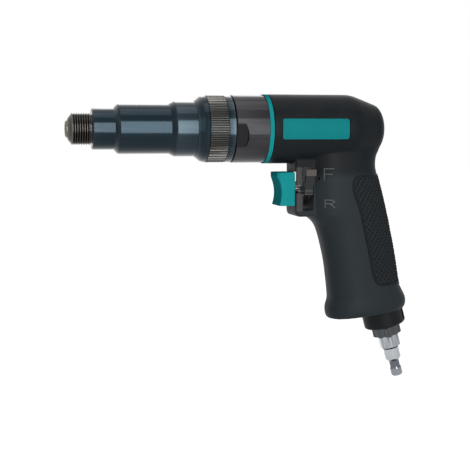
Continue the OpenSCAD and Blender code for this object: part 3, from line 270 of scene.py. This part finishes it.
def soften(piece, voxel, rounds, factor=0.5):
    """Melts the piece into one skin and rounds its edges as a mould does."""
    remesh = piece.modifiers.new("remesh", "REMESH")
    remesh.mode = "VOXEL"
    remesh.voxel_size = voxel * MM
    smooth = piece.modifiers.new("smooth", "SMOOTH")
    smooth.factor = factor
    smooth.iterations = rounds
    bake(piece)
    for polygon in piece.data.polygons:
        polygon.use_smooth = True


def copy_node(node, name):
    """A new piece with the shape of a CAD node."""
    piece = bpy.data.objects.new(name, frame["nodes"][node].data.copy())
    bpy.context.collection.objects.link(piece)
    return piece


def smooth_by_angle(piece, degrees):
    """Smooth shading, with sharp edges where two faces meet at more than the angle."""
    for polygon in piece.data.polygons:
        polygon.use_smooth = True
    bm = bmesh.new()
    bm.from_mesh(piece.data)
    for edge in bm.edges:
        if len(edge.link_faces) == 2 and edge.calc_face_angle(0) > math.radians(degrees):
            edge.smooth = False
    bm.to_mesh(piece.data)
    bm.free()


# ---------------------------------------------------------------- materials
def srgb(hex_code):
    """A colour written as in a web page, in linear light."""
    values = [int(hex_code[i : i + 2], 16) / 255 for i in (1, 3, 5)]
    return tuple(v / 12.92 if v <= 0.04045 else ((v + 0.055) / 1.055) ** 2.4 for v in values) + (1,)


def scaled(color, k):
    return tuple(min(1, c * k) for c in color[:3]) + (1,)


def surface(
    name,
    color,
    rough=0.5,
    metal=0.0,
    specular=0.5,
    coat=0.0,
    blotch=0.12,
    blotch_scale=60,
    rough_spread=0.08,
    grain=0.0,
    grain_scale=1500,
    lines=0.0,
    line_scale=900,
    edge_wear_and_glint=None,
    other=None,
    painted_sheen_below=None,
    coat_rough=0.25,
):
    """A procedural material: a base colour with soft blotches, uneven gloss, a fine grain or fine
    turning lines in the surface, lighter edges (worn, and on chrome a painted highlight), and a
    painted sheen: another tint on what hangs further down."""
    material = bpy.data.materials.new(name)
    material.use_nodes = True
    nodes, links = material.node_tree.nodes, material.node_tree.links
    nodes.clear()
    out = nodes.new("ShaderNodeOutputMaterial")
    shader = nodes.new("ShaderNodeBsdfPrincipled")
    links.new(shader.outputs["BSDF"], out.inputs["Surface"])
    shader.inputs["Metallic"].default_value = metal
    shader.inputs["Specular IOR Level"].default_value = specular
    if coat:
        shader.inputs["Coat Weight"].default_value = coat
        shader.inputs["Coat Roughness"].default_value = coat_rough
    where = nodes.new("ShaderNodeTexCoord")
    cloud = nodes.new("ShaderNodeTexNoise")
    cloud.inputs["Scale"].default_value = blotch_scale
    cloud.inputs["Detail"].default_value = 4
    links.new(where.outputs["Object"], cloud.inputs["Vector"])
    ramp = nodes.new("ShaderNodeValToRGB")
    ramp.color_ramp.elements[0].position = 0.3
    ramp.color_ramp.elements[0].color = scaled(color, 1 - blotch)
    ramp.color_ramp.elements[1].position = 0.7
    ramp.color_ramp.elements[1].color = scaled(other or color, 1 + blotch)
    links.new(cloud.outputs["Fac"], ramp.inputs["Fac"])
    tint = ramp.outputs["Color"]
    # Painted sheen: the colour blends to another tone further down, standing in for the sheen the
    # grip catches
    if painted_sheen_below:
        sheen_tone, high, low = painted_sheen_below
        parts = nodes.new("ShaderNodeSeparateXYZ")
        links.new(where.outputs["Object"], parts.inputs[0])
        fall = nodes.new("ShaderNodeMapRange")
        fall.interpolation_type = "SMOOTHSTEP"
        fall.inputs["From Min"].default_value = high * MM
        fall.inputs["From Max"].default_value = low * MM
        links.new(parts.outputs["Z"], fall.inputs["Value"])
        blend = nodes.new("ShaderNodeMix")
        blend.data_type = "RGBA"
        links.new(fall.outputs["Result"], blend.inputs["Factor"])
        links.new(tint, blend.inputs[6])
        blend.inputs[7].default_value = sheen_tone
        tint = blend.outputs[2]
    # Lighter edges found by pointiness: worn edges, and on chrome a painted highlight of edges
    # catching the light
    if edge_wear_and_glint:
        point = nodes.new("ShaderNodeNewGeometry")
        edge = nodes.new("ShaderNodeMapRange")
        edge.inputs["From Min"].default_value = 0.52
        edge.inputs["From Max"].default_value = 0.6
        links.new(point.outputs["Pointiness"], edge.inputs["Value"])
        mix = nodes.new("ShaderNodeMix")
        mix.data_type = "RGBA"
        links.new(edge.outputs["Result"], mix.inputs["Factor"])
        links.new(tint, mix.inputs[6])
        mix.inputs[7].default_value = edge_wear_and_glint
        tint = mix.outputs[2]
    links.new(tint, shader.inputs["Base Color"])
    gloss = nodes.new("ShaderNodeMapRange")
    gloss.inputs["To Min"].default_value = max(0.02, rough - rough_spread)
    gloss.inputs["To Max"].default_value = min(1, rough + rough_spread)
    links.new(cloud.outputs["Fac"], gloss.inputs["Value"])
    links.new(gloss.outputs["Result"], shader.inputs["Roughness"])
    height = None
    if grain:
        fine = nodes.new("ShaderNodeTexNoise")
        fine.inputs["Scale"].default_value = grain_scale
        fine.inputs["Detail"].default_value = 3
        links.new(where.outputs["Object"], fine.inputs["Vector"])
        bump = nodes.new("ShaderNodeBump")
        bump.inputs["Strength"].default_value = grain
        bump.inputs["Distance"].default_value = 0.1 * MM
        links.new(fine.outputs["Fac"], bump.inputs["Height"])
        height = bump.outputs["Normal"]
    if lines:
        wave = nodes.new("ShaderNodeTexWave")
        wave.bands_direction = "X"
        wave.inputs["Scale"].default_value = line_scale
        wave.inputs["Distortion"].default_value = 1.5
        wave.inputs["Detail"].default_value = 3
        links.new(where.outputs["Object"], wave.inputs["Vector"])
        bump = nodes.new("ShaderNodeBump")
        bump.inputs["Strength"].default_value = lines
        bump.inputs["Distance"].default_value = 0.02 * MM
        links.new(wave.outputs["Fac"], bump.inputs["Height"])
        if height:
            links.new(height, bump.inputs["Normal"])
        height = bump.outputs["Normal"]
    if height:
        links.new(height, shader.inputs["Normal"])
    return material


SURFACES = {
    "oxide": dict(
        color=(0.0008, 0.0098, 0.0165, 1), rough=0.22, metal=1, coat=0.36, coat_rough=0.12,
        blotch=0.15, rough_spread=0.05, lines=0.35, edge_wear_and_glint=srgb("#2e3b41"),
    ),
    "knurl": dict(color=srgb("#262928"), rough=0.42, metal=1, blotch=0.2, edge_wear_and_glint=srgb("#5e5c59")),
    "thread": dict(
        color=srgb("#474543"), rough=0.26, metal=1, blotch=0.25, lines=0.2, edge_wear_and_glint=srgb("#6a655f"),
    ),
    "gear_paint": dict(
        color=srgb("#0a0c10"), rough=0.11, rough_spread=0.03, specular=0.19, blotch=0.1,
        lines=0.3, edge_wear_and_glint=srgb("#38373b"),
    ),
    "teal": dict(color=srgb("#1a8386"), rough=0.5, specular=0.0, blotch=0.06, grain=0.25),
    "teal_plate": dict(color=srgb("#067073"), rough=0.5, specular=0.06, blotch=0.04, grain=0.15),
    # Painted sheen: the shell blends to a lighter tone on the grip, further down, in place of the
    # sheen the grip catches
    "shell": dict(
        color=srgb("#13171a"), rough=0.45, specular=0.07, blotch=0.08, grain=0.45,
        grain_scale=2200, other=srgb("#181b1d"), painted_sheen_below=(srgb("#23292c"), -26, -34),
    ),
    # Painted light: a lighter copy of the shell for the block's side before the slot
    "painted_lit_strip": dict(color=srgb("#353333"), rough=0.45, specular=0.15, blotch=0.08, grain=0.3),
    "rubber": dict(
        color=srgb("#0a0d10"), rough=0.55, specular=0.12, blotch=0.15, blotch_scale=120,
        grain=0.5, grain_scale=2500,
    ),
    "collar": dict(color=srgb("#0f1214"), rough=0.42, specular=0.12, blotch=0.1, grain=0.4),
    "black_steel": dict(
        color=srgb("#16181a"), rough=0.3, metal=1, blotch=0.15, grain=0.15, edge_wear_and_glint=srgb("#5a5d5f"),
    ),
    # Painted highlight: the chrome's light edge colour stands in for its edges catching the light
    "chrome": dict(
        color=srgb("#5f636a"), rough=0.1, metal=1, blotch=0.05, rough_spread=0.03, grain=0.03,
        edge_wear_and_glint=srgb("#c4c8cd"),
    ),
    "steel": dict(color=srgb("#8c8a86"), rough=0.3, metal=1, blotch=0.12, lines=0.4),
    "dark_steel": dict(
        color=srgb("#64686c"), rough=0.36, metal=1, blotch=0.12, lines=0.3, grain=0.1,
    ),
    "brass": dict(color=srgb("#b08d4f"), rough=0.3, metal=1, blotch=0.1, lines=0.3),
    "seal": dict(color=srgb("#161616"), rough=0.6, blotch=0.2, grain=0.3),
    "felt": dict(
        color=srgb("#8d8778"), rough=0.95, specular=0.1, blotch=0.25, blotch_scale=400, grain=1,
    ),
    "fibre": dict(color=srgb("#5a3d28"), rough=0.6, blotch=0.2, blotch_scale=300, grain=0.5),
    "cast": dict(color=srgb("#7b7f82"), rough=0.45, metal=1, blotch=0.12, grain=0.4),
    "lever_paint": dict(
        color=srgb("#1d2022"), rough=0.4, specular=0.25, blotch=0.1, grain=0.25,
        edge_wear_and_glint=srgb("#77736f"),
    ),
    # Painted highlight: a lighter colour for the knobs, standing in for the light on their ribs
    "knob_painted_highlight": dict(color=srgb("#524c4a"), rough=0.5, specular=0.2, blotch=0.1, grain=0.3),
    "mark": dict(color=srgb("#565b5a"), rough=0.55, specular=0.25, blotch=0.05, grain=0.2),
    "worn_steel": dict(color=srgb("#6b655c"), rough=0.3, metal=1, blotch=0.2, lines=0.3),
}
materials = {name: surface(name, **options) for name, options in SURFACES.items()}

# Finish of each piece of the CAD
FINISHES = {
    "oxide": ["clutch_case", "torque_ring"],
    "gear_paint": ["gear_housing"],
    "teal": ["accent_ring", "trigger"],
    "teal_plate": ["name_plate"],
    "shell": ["housing"],
    "rubber": ["grip_rubber"],
    "collar": ["exhaust_deflector", "valve_retaining_pin"],
    "black_steel": ["inlet_bushing", "detent_screw", "reverse_valve"],
    "chrome": ["air_nipple"],
    "worn_steel": ["spindle"],
    "steel": [
        "spindle_bearing_outer", "spindle_bearing_inner", "carrier_bearing_outer",
        "carrier_bearing_inner", "rotor_bearing_outers", "rotor_bearing_inners", "bearing_balls",
        "thrust_race_fixed", "thrust_race_turning", "thrust_balls", "clutch_balls", "bit_ball",
        "trigger_stem", "trigger_pin", "lever_screw", "cylinder_pin", "planet_pins", "seat_pins",
        "detent_ball", "inlet_screen", "throttle_spring", "detent_spring",
    ],
    "dark_steel": [
        "retaining_ring", "ring_gear", "spring_seat", "clutch_spring", "clutch_cam",
        "planet_carrier", "planet_gear_a", "planet_gear_b", "planet_gear_c", "bit_clip", "rotor",
    ],
    "brass": ["nose_bush", "throttle_seat", "throttle_valve"],
    "seal": ["valve_o_rings", "ring_friction_ring"],
    "felt": ["silencer"],
    "fibre": ["rotor_vanes"],
    "cast": ["front_end_plate", "motor_cylinder", "rear_end_plate"],
    "lever_paint": ["reverse_lever"],
}
for finish, names in FINISHES.items():
    for name in names:
        node = frame["nodes"][name]
        node.data.materials.clear()
        node.data.materials.append(materials[finish])


def second_finish(name, material, chosen):
    """Gives the faces that are chosen by their centre, in millimetres, another finish."""
    mesh = frame["nodes"][name].data
    mesh.materials.append(material)
    for polygon in mesh.polygons:
        if chosen(polygon.center / MM):
            polygon.material_index = len(mesh.materials) - 1


ring_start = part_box("torque_ring")[0].x / MM
# The knurled band, from the ring's front edge, and the nose thread
band_start, band_end, band_root_r = 7.05, 18.85, 20.9
thread_end, thread_bore_r = 16, 6.5
second_finish(
    "torque_ring",
    materials["knurl"],
    lambda p: band_start < p.x - ring_start < band_end and math.hypot(p.y, p.z) > band_root_r,
)
second_finish(
    "clutch_case",
    materials["thread"],
    lambda p: p.x < thread_end and math.hypot(p.y, p.z) > thread_bore_r,
)

# Pieces whose edges catch the light get a small chamfer, of this width
CHAMFERS = {
    "clutch_case": 0.12,
    "torque_ring": 0.08,
    "gear_housing": 0.15,
    "accent_ring": 0.15,
    "inlet_bushing": 0.15,
    "air_nipple": 0.1,
    "spindle": 0.1,
    "name_plate": 0.08,
}
CHAMFER_ANGLE = 32
for name, width in CHAMFERS.items():
    bevel = frame["nodes"][name].modifiers.new("edges", "BEVEL")
    bevel.width = width * MM
    bevel.segments = 2
    bevel.limit_method = "ANGLE"
    bevel.angle_limit = math.radians(CHAMFER_ANGLE)
    bevel.use_clamp_overlap = True


# ---------------------------------------------------------------- grip surface
def spline(rows, t):
    """A smooth curve through the rows, at share t of the drop."""
    last = len(rows) - 1
    i = 0
    while i < last - 1 and t > rows[i + 1][0]:
        i += 1
    a, b = rows[i], rows[i + 1]
    before, after = rows[max(i - 1, 0)], rows[min(i + 2, last)]
    span = b[0] - a[0]
    s = min(max((t - a[0]) / span, 0), 1)
    values = []
    for n in range(1, len(a)):
        slope_a = (b[n] - before[n]) / (b[0] - before[0])
        slope_b = (after[n] - a[n]) / (after[0] - a[0])
        values.append(
            (2 * s**3 - 3 * s**2 + 1) * a[n]
            + (s**3 - 2 * s**2 + s) * span * slope_a
            + (-2 * s**3 + 3 * s**2) * b[n]
            + (s**3 - s**2) * span * slope_b
        )
    return values


def sign_power(v, e):
    return math.copysign(abs(v) ** e, v)


def grip_point(t, a, swell=0.0):
    """Point of the grip at share t of its drop and angle a (degrees) from its back."""
    back, depth, width = spline(grip_shares, t)
    tilt = math.radians(foot_tilt * t)
    lean = grip_drop * t * math.tan(math.radians(grip_tilt))
    middle = barrel_x + grip_start + lean + back * grip_depth
    u = (depth * grip_depth / 2 + swell) * sign_power(math.cos(math.radians(a)), 2 / grip_roundness)
    v = (width * grip_w / 2 + swell) * sign_power(math.sin(math.radians(a)), 2 / grip_roundness)
    return (middle + u * math.cos(tilt), v, -grip_drop * t + u * math.sin(tilt))


# ---------------------------------------------------------------- housing
def barrel_profile(edge=0.4, straight_steps=20, shoulder_steps=12, dome_steps=24):
    """Chamfered front edge, straight part, shoulder, taper and domed end."""
    end = barrel_x + barrel_len
    taper_x = end - dome_len - taper_len
    drop = shoulder_len * (barrel_r - tail_r) / taper_len
    points = [(barrel_x, 0), (barrel_x, barrel_r - edge), (barrel_x + edge, barrel_r)]
    straight_len = taper_x - shoulder_len - barrel_x - edge
    for i in range(1, straight_steps):
        points.append((barrel_x + edge + straight_len * i / straight_steps, barrel_r))
    for i in range(shoulder_steps + 1):
        share = i / shoulder_steps
        x = taper_x - shoulder_len + 2 * shoulder_len * i / shoulder_steps
        points.append((x, barrel_r - drop * share**2))
    first = math.radians(dome_start)
    for i in range(dome_steps + 1):
        a = math.radians(dome_start + (90 - dome_start) * i / dome_steps)
        x = end - dome_len * (1 - math.sin(a)) / (1 - math.sin(first))
        points.append((x, tail_r * math.cos(a) / math.cos(first)))
    return points


def grip_rings(rows=150, sides=160):
    first, last = grip_shares[0][0], grip_shares[-1][0]
    rings = []
    for i in range(rows + 1):
        t = first + (last - first) * i / rows
        rings.append([grip_point(t, 360 * k / sides) for k in range(sides)])
    return rings


def trigger_block():
    """The block round the lever, and the narrower guide of the trigger before it."""
    top = trigger_axis_z + slot_h / 2 + block_rise
    bottom = trigger_axis_z - block_h / 2
    low_front = (True, False, False, False)
    wide = rounded(wall_x, bottom, slot_x + 2 * slot_w, top, block_round, low_front)
    guide_end = block_x + 2 * block_corner
    narrow = rounded(block_x, bottom, guide_end, top, block_corner, low_front)
    inner = trigger_w / 2 + gap
    return [slab("wide", wide, -block_w, block_w), slab("narrow", narrow, -inner, inner)]


def box(name, lo, hi):
    outline = [(lo[0], lo[2]), (hi[0], lo[2]), (hi[0], hi[2]), (lo[0], hi[2])]
    return slab(name, outline, lo[1], hi[1])


# Holes of the housing, as in the part's source
far = 40
over = 1
window_half_h = 2.8
slot_round = 0.8
mouth_r, bore_r = 20, 18.25
valve_bore_r, valve_bore_len = 7.05, 35
pin_hole_r = 1.05
screw_hole_r, screw_hole_y = 1.6, 5
silencer_seat_r, silencer_depth = 13.05, 12
bushing_seat_r, bushing_depth = 8.55, 22
collar_seat_r, collar_seat_len = 14.4, 20
foot_over = 8
# Shadow line round the plate
plate_line_w, plate_line_depth, plate_round = 0.6, 0.45, 2
# How the moulded skin is made: size of the remesh's cells and rounds of smoothing
skin_voxel, skin_rounds = 0.6, 10
sharp_angle = 40


def middle_of(box, axis):
    """Middle of a box along an axis, in millimetres."""
    return (box[0][axis] + box[1][axis]) / 2 / MM


def plate_pocket():
    """The shallow seat round the name plate, following the barrel."""
    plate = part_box("name_plate")
    outline = rounded(
        plate[0].x / MM - plate_line_w,
        plate[0].z / MM - plate_line_w,
        plate[1].x / MM + plate_line_w,
        plate[1].z / MM + plate_line_w,
        plate_round,
    )
    pocket = slab("pocket", outline, -far, -barrel_r / 2)
    start, end, floor_r = barrel_x - far, barrel_x + barrel_len + far, barrel_r - plate_line_depth
    cut(pocket, turned("floor_of_pocket", [(start, 0), (start, floor_r), (end, floor_r), (end, 0)]))
    return pocket


def housing_cutters():
    half_h, half_w = trigger_h / 2 + gap, trigger_w / 2 + gap
    slot_end = slot_x + slot_w
    ahead = block_x - 5 * over
    z = trigger_axis_z
    front = barrel_x - over
    plates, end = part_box("front_end_plate")[0].x / MM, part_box("rear_end_plate")[1].x / MM
    bore = [(front, 0), (front, mouth_r), (plates, mouth_r)]
    bore += [(plates, bore_r), (end, bore_r), (end, 0)]
    slot = rounded(slot_x, z - slot_h / 2, slot_end, z + slot_h / 2, slot_round)
    pin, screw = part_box("valve_retaining_pin"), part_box("detent_screw")
    pin_start = (middle_of(pin, 0), -far, middle_of(pin, 2))
    screw_start = (middle_of(screw, 0), screw_hole_y, z)
    joint = next(j for j in frame["joints"] if j["name"] == "deflector_turn")
    inlet, down = Vector(joint["pos_m"]) / MM, Vector(joint["axis"]).normalized()
    silencer_start, bushing_start = inlet - silencer_depth * down, inlet - bushing_depth * down
    across = (0, 1, 0)
    return [
        box("horns", (ahead, -far, z - half_h), (wall_x, far, z + half_h)),
        box("channel", (ahead, -half_w, z - half_h), (slot_end, half_w, z + half_h)),
        box("window", (ahead, -far, z - window_half_h), (slot_x + over, far, z + window_half_h)),
        slab("slot", slot, -far, far),
        turned("bore", bore, sides=96),
        rod("valve_bore", (slot_end - over, 0, z), (1, 0, 0), valve_bore_len, valve_bore_r),
        rod("pin_hole", pin_start, across, 2 * far, pin_hole_r),
        rod("screw_hole", screw_start, across, far, screw_hole_r),
        plate_pocket(),
        rod("silencer_seat", silencer_start, down, silencer_depth + foot_over, silencer_seat_r),
        rod("bushing_seat", bushing_start, down, bushing_depth + foot_over, bushing_seat_r),
        rod("collar_seat", inlet, down, collar_seat_len, collar_seat_r),
    ]


def make_housing():
    """Barrel, grip and trigger block as one soft-edged moulding, with its seats and holes."""
    parts = [turned("barrel", barrel_profile()), loft("grip", grip_rings())] + trigger_block()
    piece = join("housing_shell", parts)
    soften(piece, skin_voxel, skin_rounds)
    for cutter in housing_cutters():
        cut(piece, cutter)
    smooth_by_angle(piece, sharp_angle)
    piece.data.materials.clear()
    piece.data.materials.append(materials["shell"])
    piece.data.materials.append(materials["painted_lit_strip"])
    # Painted light: the block's side before the slot is coloured lighter, where the light falls on
    # it
    lit_strip_end, lit_strip_y = slot_x - 0.4, block_w - 1.2
    for polygon in piece.data.polygons:
        p = polygon.center / MM
        if p.x < lit_strip_end and abs(p.y) > lit_strip_y and abs(p.z - trigger_axis_z) < slot_h / 2:
            polygon.material_index = 1
    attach(piece, "frame")
    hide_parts("housing")
    return piece


housing = make_housing()

# ---------------------------------------------------------------- rubber panel
# Front edge of the panel on the grip's side: share of the drop, share of the depth
rubber_edge_shares = [
    (0.246, -0.1),
    (0.26, -0.165),
    (0.285, -0.205),
    (0.321, -0.22),
    (0.36, -0.215),
    (0.427, -0.192),
    (0.534, -0.187),
    (0.642, -0.183),
    (0.752, -0.192),
    (0.81, -0.178),
    (0.838, -0.14),
    (0.85, -0.06),
    (0.89, -0.06),
]
rubber_top_share, rubber_bottom_share, rubber_dip_share = 0.246, 0.845, 0.025
rubber_t, rubber_proud = 1.6, 0.5
lattice_pitch = 4.0
lattice_squeeze = 1.15
groove_w = 1.1
groove_depth = 0.75
groove_floor_share = 0.15
pad_crown = 0.18
pad_crown_start = 0.5
border_w = 1.6
border_shares = (0.7, 1.2)
rim_drop, rim_w = 0.3, 0.5


def rubber_angle(t):
    """Angle of the panel's edge from the grip's back."""
    back, depth, width = spline(grip_shares, t)
    share = (spline(rubber_edge_shares, t)[0] - back) * 2 / depth
    return math.degrees(math.acos(sign_power(share, grip_roundness / 2)))


def smoothstep(lo, hi, v):
    v = min(max((v - lo) / (hi - lo), 0), 1)
    return v * v * (3 - 2 * v)


def lattice(s, h, rim):
    """Height of the rubber: rounded diamonds between crossing grooves, inside a plain rim."""
    p = (s * lattice_squeeze + h) / lattice_pitch
    q = (s * lattice_squeeze - h) / lattice_pitch
    near = min(abs(p - round(p)), abs(q - round(q))) * lattice_pitch
    pad = smoothstep(groove_floor_share * groove_w, groove_w, near)
    dome = pad_crown * smoothstep(pad_crown_start, lattice_pitch / 2, near)
    inside = smoothstep(border_w * border_shares[0], border_w * border_shares[1], rim)
    low = rim_drop * (1 - smoothstep(0, rim_w, rim))
    return rubber_proud - inside * groove_depth * (1 - pad) + inside * dome - low


def panel_place(j, k, rows, columns):
    """Share of the drop and angle of the panel's point in row j and column k."""
    c = 2 * k / columns - 1
    bottom = rubber_bottom_share + rubber_dip_share * (1 - abs(c))
    t = rubber_top_share + (bottom - rubber_top_share) * j / rows
    return t, c * rubber_angle(t)


def make_rubber(rows=230, columns=230):
    """The panel as a fine sheet over the grip's back, with a skirt down into its pocket."""
    points = []
    middle = columns // 2
    full = (rubber_bottom_share + rubber_dip_share - rubber_top_share) * grip_drop
    for j in range(rows + 1):
        line = [panel_place(j, k, rows, columns) for k in range(columns + 1)]
        base = [Vector(grip_point(t, a)) for t, a in line]
        along = [0.0] * (columns + 1)
        for k in range(middle + 1, columns + 1):
            along[k] = along[k - 1] + (base[k] - base[k - 1]).length
        for k in range(middle - 1, -1, -1):
            along[k] = along[k + 1] - (base[k] - base[k + 1]).length
        total = (line[middle][0] - rubber_top_share) * grip_drop
        for k, (t, a) in enumerate(line):
            rim = min(along[-1] - abs(along[k]), total, full - total)
            h = (t - rubber_top_share) * grip_drop
            points.append(grip_point(t, a, lattice(along[k], h, rim)))
    n, m = columns + 1, rows + 1
    faces = [
        (j * n + k, j * n + k + 1, (j + 1) * n + k + 1, (j + 1) * n + k)
        for j in range(rows)
        for k in range(columns)
    ]
    # Skirt: the border's points again, sunk to the pocket's floor
    border = list(range(n)) + [j * n + columns for j in range(1, m)]
    border += [rows * n + k for k in range(columns - 1, -1, -1)]
    border += [j * n for j in range(rows - 1, 0, -1)]
    start, count = len(points), len(border)
    for i in border:
        t, a = panel_place(*divmod(i, n), rows, columns)
        points.append(grip_point(t, a, -rubber_t))
    for i in range(count):
        after = (i + 1) % count
        faces.append((border[i], border[after], start + after, start + i))
    piece = add_mesh("rubber_panel", points, faces)
    piece.data.materials.append(materials["rubber"])
    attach(piece, "frame")
    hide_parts("grip_rubber")


make_rubber()


# ---------------------------------------------------------------- pieces with soft edges
def soft_copy(node, name, finish, body, voxel, rounds):
    """A copy of a node with rounded edges, riding on its body in the node's place."""
    piece = copy_node(node, name)
    soften(piece, voxel, rounds)
    piece.data.materials.clear()
    piece.data.materials.append(materials[finish])
    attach(piece, body)
    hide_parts(node)
    return piece


soft_copy("trigger", "trigger_moulded", "teal", "trigger", 0.3, 8)
soft_copy("exhaust_deflector", "collar_moulded", "collar", "deflector", 0.3, 6)
lever = soft_copy("reverse_lever", "lever_cast", "lever_paint", "reverser", 0.16, 3)

# Painted highlight: the knobs, at the lever's outer ends, are coloured lighter, in place of the
# light their ribs catch
knob_t, knob_low = 4.2, 9
lever.data.materials.append(materials["knob_painted_highlight"])
knob_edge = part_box("reverse_lever")[1].y / MM - knob_t
for polygon in lever.data.polygons:
    p = polygon.center / MM
    if abs(p.y) > knob_edge and abs(p.z - trigger_axis_z) > knob_low:
        polygon.material_index = 1

# ---------------------------------------------------------------- marks beside the lever
MARK_W = 0.55
MARK_LIFT = 0.06
MARK_T = 0.25
MARK_TOP_SHARE = 0.6
MARK_STEPS = 10
# Strokes as shares of the letter's box: from, to
F_STROKES = [((0, 0), (0, 1)), ((0, 1), (1, 1)), ((0, 0.52), (0.8, 0.52))]
R_STROKES = [
    ((0, 0), (0, 1)),
    ((0, 1), (0.65, 1)),
    ((0.65, 1), (0.95, 0.78)),
    ((0.95, 0.78), (0.65, 0.52)),
    ((0.65, 0.52), (0, 0.52)),
    ((0.5, 0.52), (1, 0)),
]
# Name, strokes, lower front corner and size, along X and Z
MARKS = [
    ("mark_f", F_STROKES, (165.7, -33.1), (5.9, 7.3)),
    ("mark_r", R_STROKES, (166.5, -51.3), (6.2, 5.1)),
]


def stroke(a, b, on_skin, first):
    """Points and faces of one raised stroke from a to b; first is the count of points so far."""
    along = (b - a).normalized()
    side = Vector((-along.y, along.x)) * MARK_W / 2
    top = side * MARK_TOP_SHARE
    a, b = a - along * MARK_W / 2, b + along * MARK_W / 2
    points, faces = [], []
    for i in range(MARK_STEPS + 1):
        p = a.lerp(b, i / MARK_STEPS)
        points += [on_skin(p - side, -MARK_T), on_skin(p - top, MARK_LIFT)]
        points += [on_skin(p + top, MARK_LIFT), on_skin(p + side, -MARK_T)]
    for i in range(MARK_STEPS):
        near, next_one = first + i * 4, first + (i + 1) * 4
        for k in range(4):
            after = (k + 1) % 4
            faces.append((near + k, near + after, next_one + after, next_one + k))
    faces.append(tuple(first + k for k in range(4)))
    faces.append(tuple(first + MARK_STEPS * 4 + k for k in (3, 2, 1, 0)))
    return points, faces


def make_marks():
    """Thin strokes laid on the housing's near side."""
    bm = bmesh.new()
    bm.from_mesh(housing.data)
    tree = BVHTree.FromBMesh(bm)
    bm.free()

    def on_skin(place, lift):
        start = Vector((place.x * MM, -0.1, place.y * MM))
        hit, normal = tree.ray_cast(start, Vector((0, 1, 0)))[:2]
        return tuple((hit + normal * lift * MM) / MM)

    for name, strokes, corner, size in MARKS:
        points, faces = [], []
        for ends in strokes:
            a, b = (Vector((corner[0] + u * size[0], corner[1] + v * size[1])) for u, v in ends)
            more_points, more_faces = stroke(a, b, on_skin, len(points))
            points += more_points
            faces += more_faces
        piece = add_mesh(name, points, faces, smooth=False)
        piece.data.materials.append(materials["mark"])
        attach(piece, "frame")


make_marks()


# ---------------------------------------------------------------- floor, world, lamps
FLOOR_SIZE, FLOOR_DROP = 8, 0.06
FLOOR_TONE = (0.9, 0.9, 0.9, 1)
# The floor is seen as this much white light and the rest matt, which keeps a faint shadow
FLOOR_WHITE, FLOOR_WHITE_SHARE = 1.26, 0.78
WORLD_LIGHT = 0.22


def add_floor():
    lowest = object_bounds()[0].z
    bpy.ops.mesh.primitive_plane_add(size=FLOOR_SIZE, location=(0.11, 0.5, lowest - FLOOR_DROP))
    floor = bpy.context.object
    floor.name = "floor"
    material = bpy.data.materials.new("floor")
    material.use_nodes = True
    nodes, links = material.node_tree.nodes, material.node_tree.links
    nodes.clear()
    out = nodes.new("ShaderNodeOutputMaterial")
    mix = nodes.new("ShaderNodeMixShader")
    matte = nodes.new("ShaderNodeBsdfDiffuse")
    matte.inputs["Color"].default_value = FLOOR_TONE
    white = nodes.new("ShaderNodeEmission")
    white.inputs["Strength"].default_value = FLOOR_WHITE
    seen = seen_rays(nodes, links)
    share = nodes.new("ShaderNodeMath")
    share.operation = "MULTIPLY"
    share.inputs[1].default_value = FLOOR_WHITE_SHARE
    links.new(seen, share.inputs[0])
    links.new(share.outputs[0], mix.inputs["Fac"])
    links.new(matte.outputs[0], mix.inputs[1])
    links.new(white.outputs[0], mix.inputs[2])
    links.new(mix.outputs[0], out.inputs["Surface"])
    floor.data.materials.append(material)


def seen_rays(nodes, links):
    """1 for camera, glossy and transmission rays."""
    path = nodes.new("ShaderNodeLightPath")
    first = nodes.new("ShaderNodeMath")
    first.operation = "MAXIMUM"
    links.new(path.outputs["Is Camera Ray"], first.inputs[0])
    links.new(path.outputs["Is Glossy Ray"], first.inputs[1])
    second = nodes.new("ShaderNodeMath")
    second.operation = "MAXIMUM"
    links.new(first.outputs[0], second.inputs[0])
    links.new(path.outputs["Is Transmission Ray"], second.inputs[1])
    return second.outputs[0]


def add_world():
    world = bpy.data.worlds.new("studio")
    bpy.context.scene.world = world
    world.use_nodes = True
    nodes, links = world.node_tree.nodes, world.node_tree.links
    nodes.clear()
    out = nodes.new("ShaderNodeOutputWorld")
    mix = nodes.new("ShaderNodeMixShader")
    dim = nodes.new("ShaderNodeBackground")
    dim.inputs["Strength"].default_value = WORLD_LIGHT
    white = nodes.new("ShaderNodeBackground")
    white.inputs["Strength"].default_value = 1
    for shade in (dim, white):
        shade.inputs["Color"].default_value = (1, 1, 1, 1)
    links.new(seen_rays(nodes, links), mix.inputs["Fac"])
    links.new(dim.outputs[0], mix.inputs[1])
    links.new(white.outputs[0], mix.inputs[2])
    links.new(mix.outputs[0], out.inputs["Surface"])


def add_lamp(name, place, aim, size, watts):
    data = bpy.data.lights.new(name, "AREA")
    data.shape = "RECTANGLE"
    data.size, data.size_y = size
    data.energy = watts
    lamp = bpy.data.objects.new(name, data)
    lamp.location = place
    lamp.visible_camera = False
    lamp.rotation_euler = (Vector(aim) - Vector(place)).to_track_quat("-Z", "Y").to_euler()
    bpy.context.collection.objects.link(lamp)


CENTRE = (0.12, 0, -0.05)
# Name, place, aim, size and watts
LAMPS = [
    ("front_box", (0.17, -0.62, 0.115), (0.17, 0, 0.115), (0.27, 0.63), 3.7),
    ("top_box", (0.15, -0.1, 1.1), CENTRE, (1.0, 0.7), 2.4),
    ("left_box", (-0.9, -0.5, 0.3), CENTRE, (0.4, 0.9), 1.0),
    ("back_box", (0.5, 1.0, 0.5), CENTRE, (0.8, 0.5), 1.5),
]

add_floor()
add_world()
for lamp_values in LAMPS:
    add_lamp(*lamp_values)

bpy.context.scene.view_settings.view_transform = "Standard"
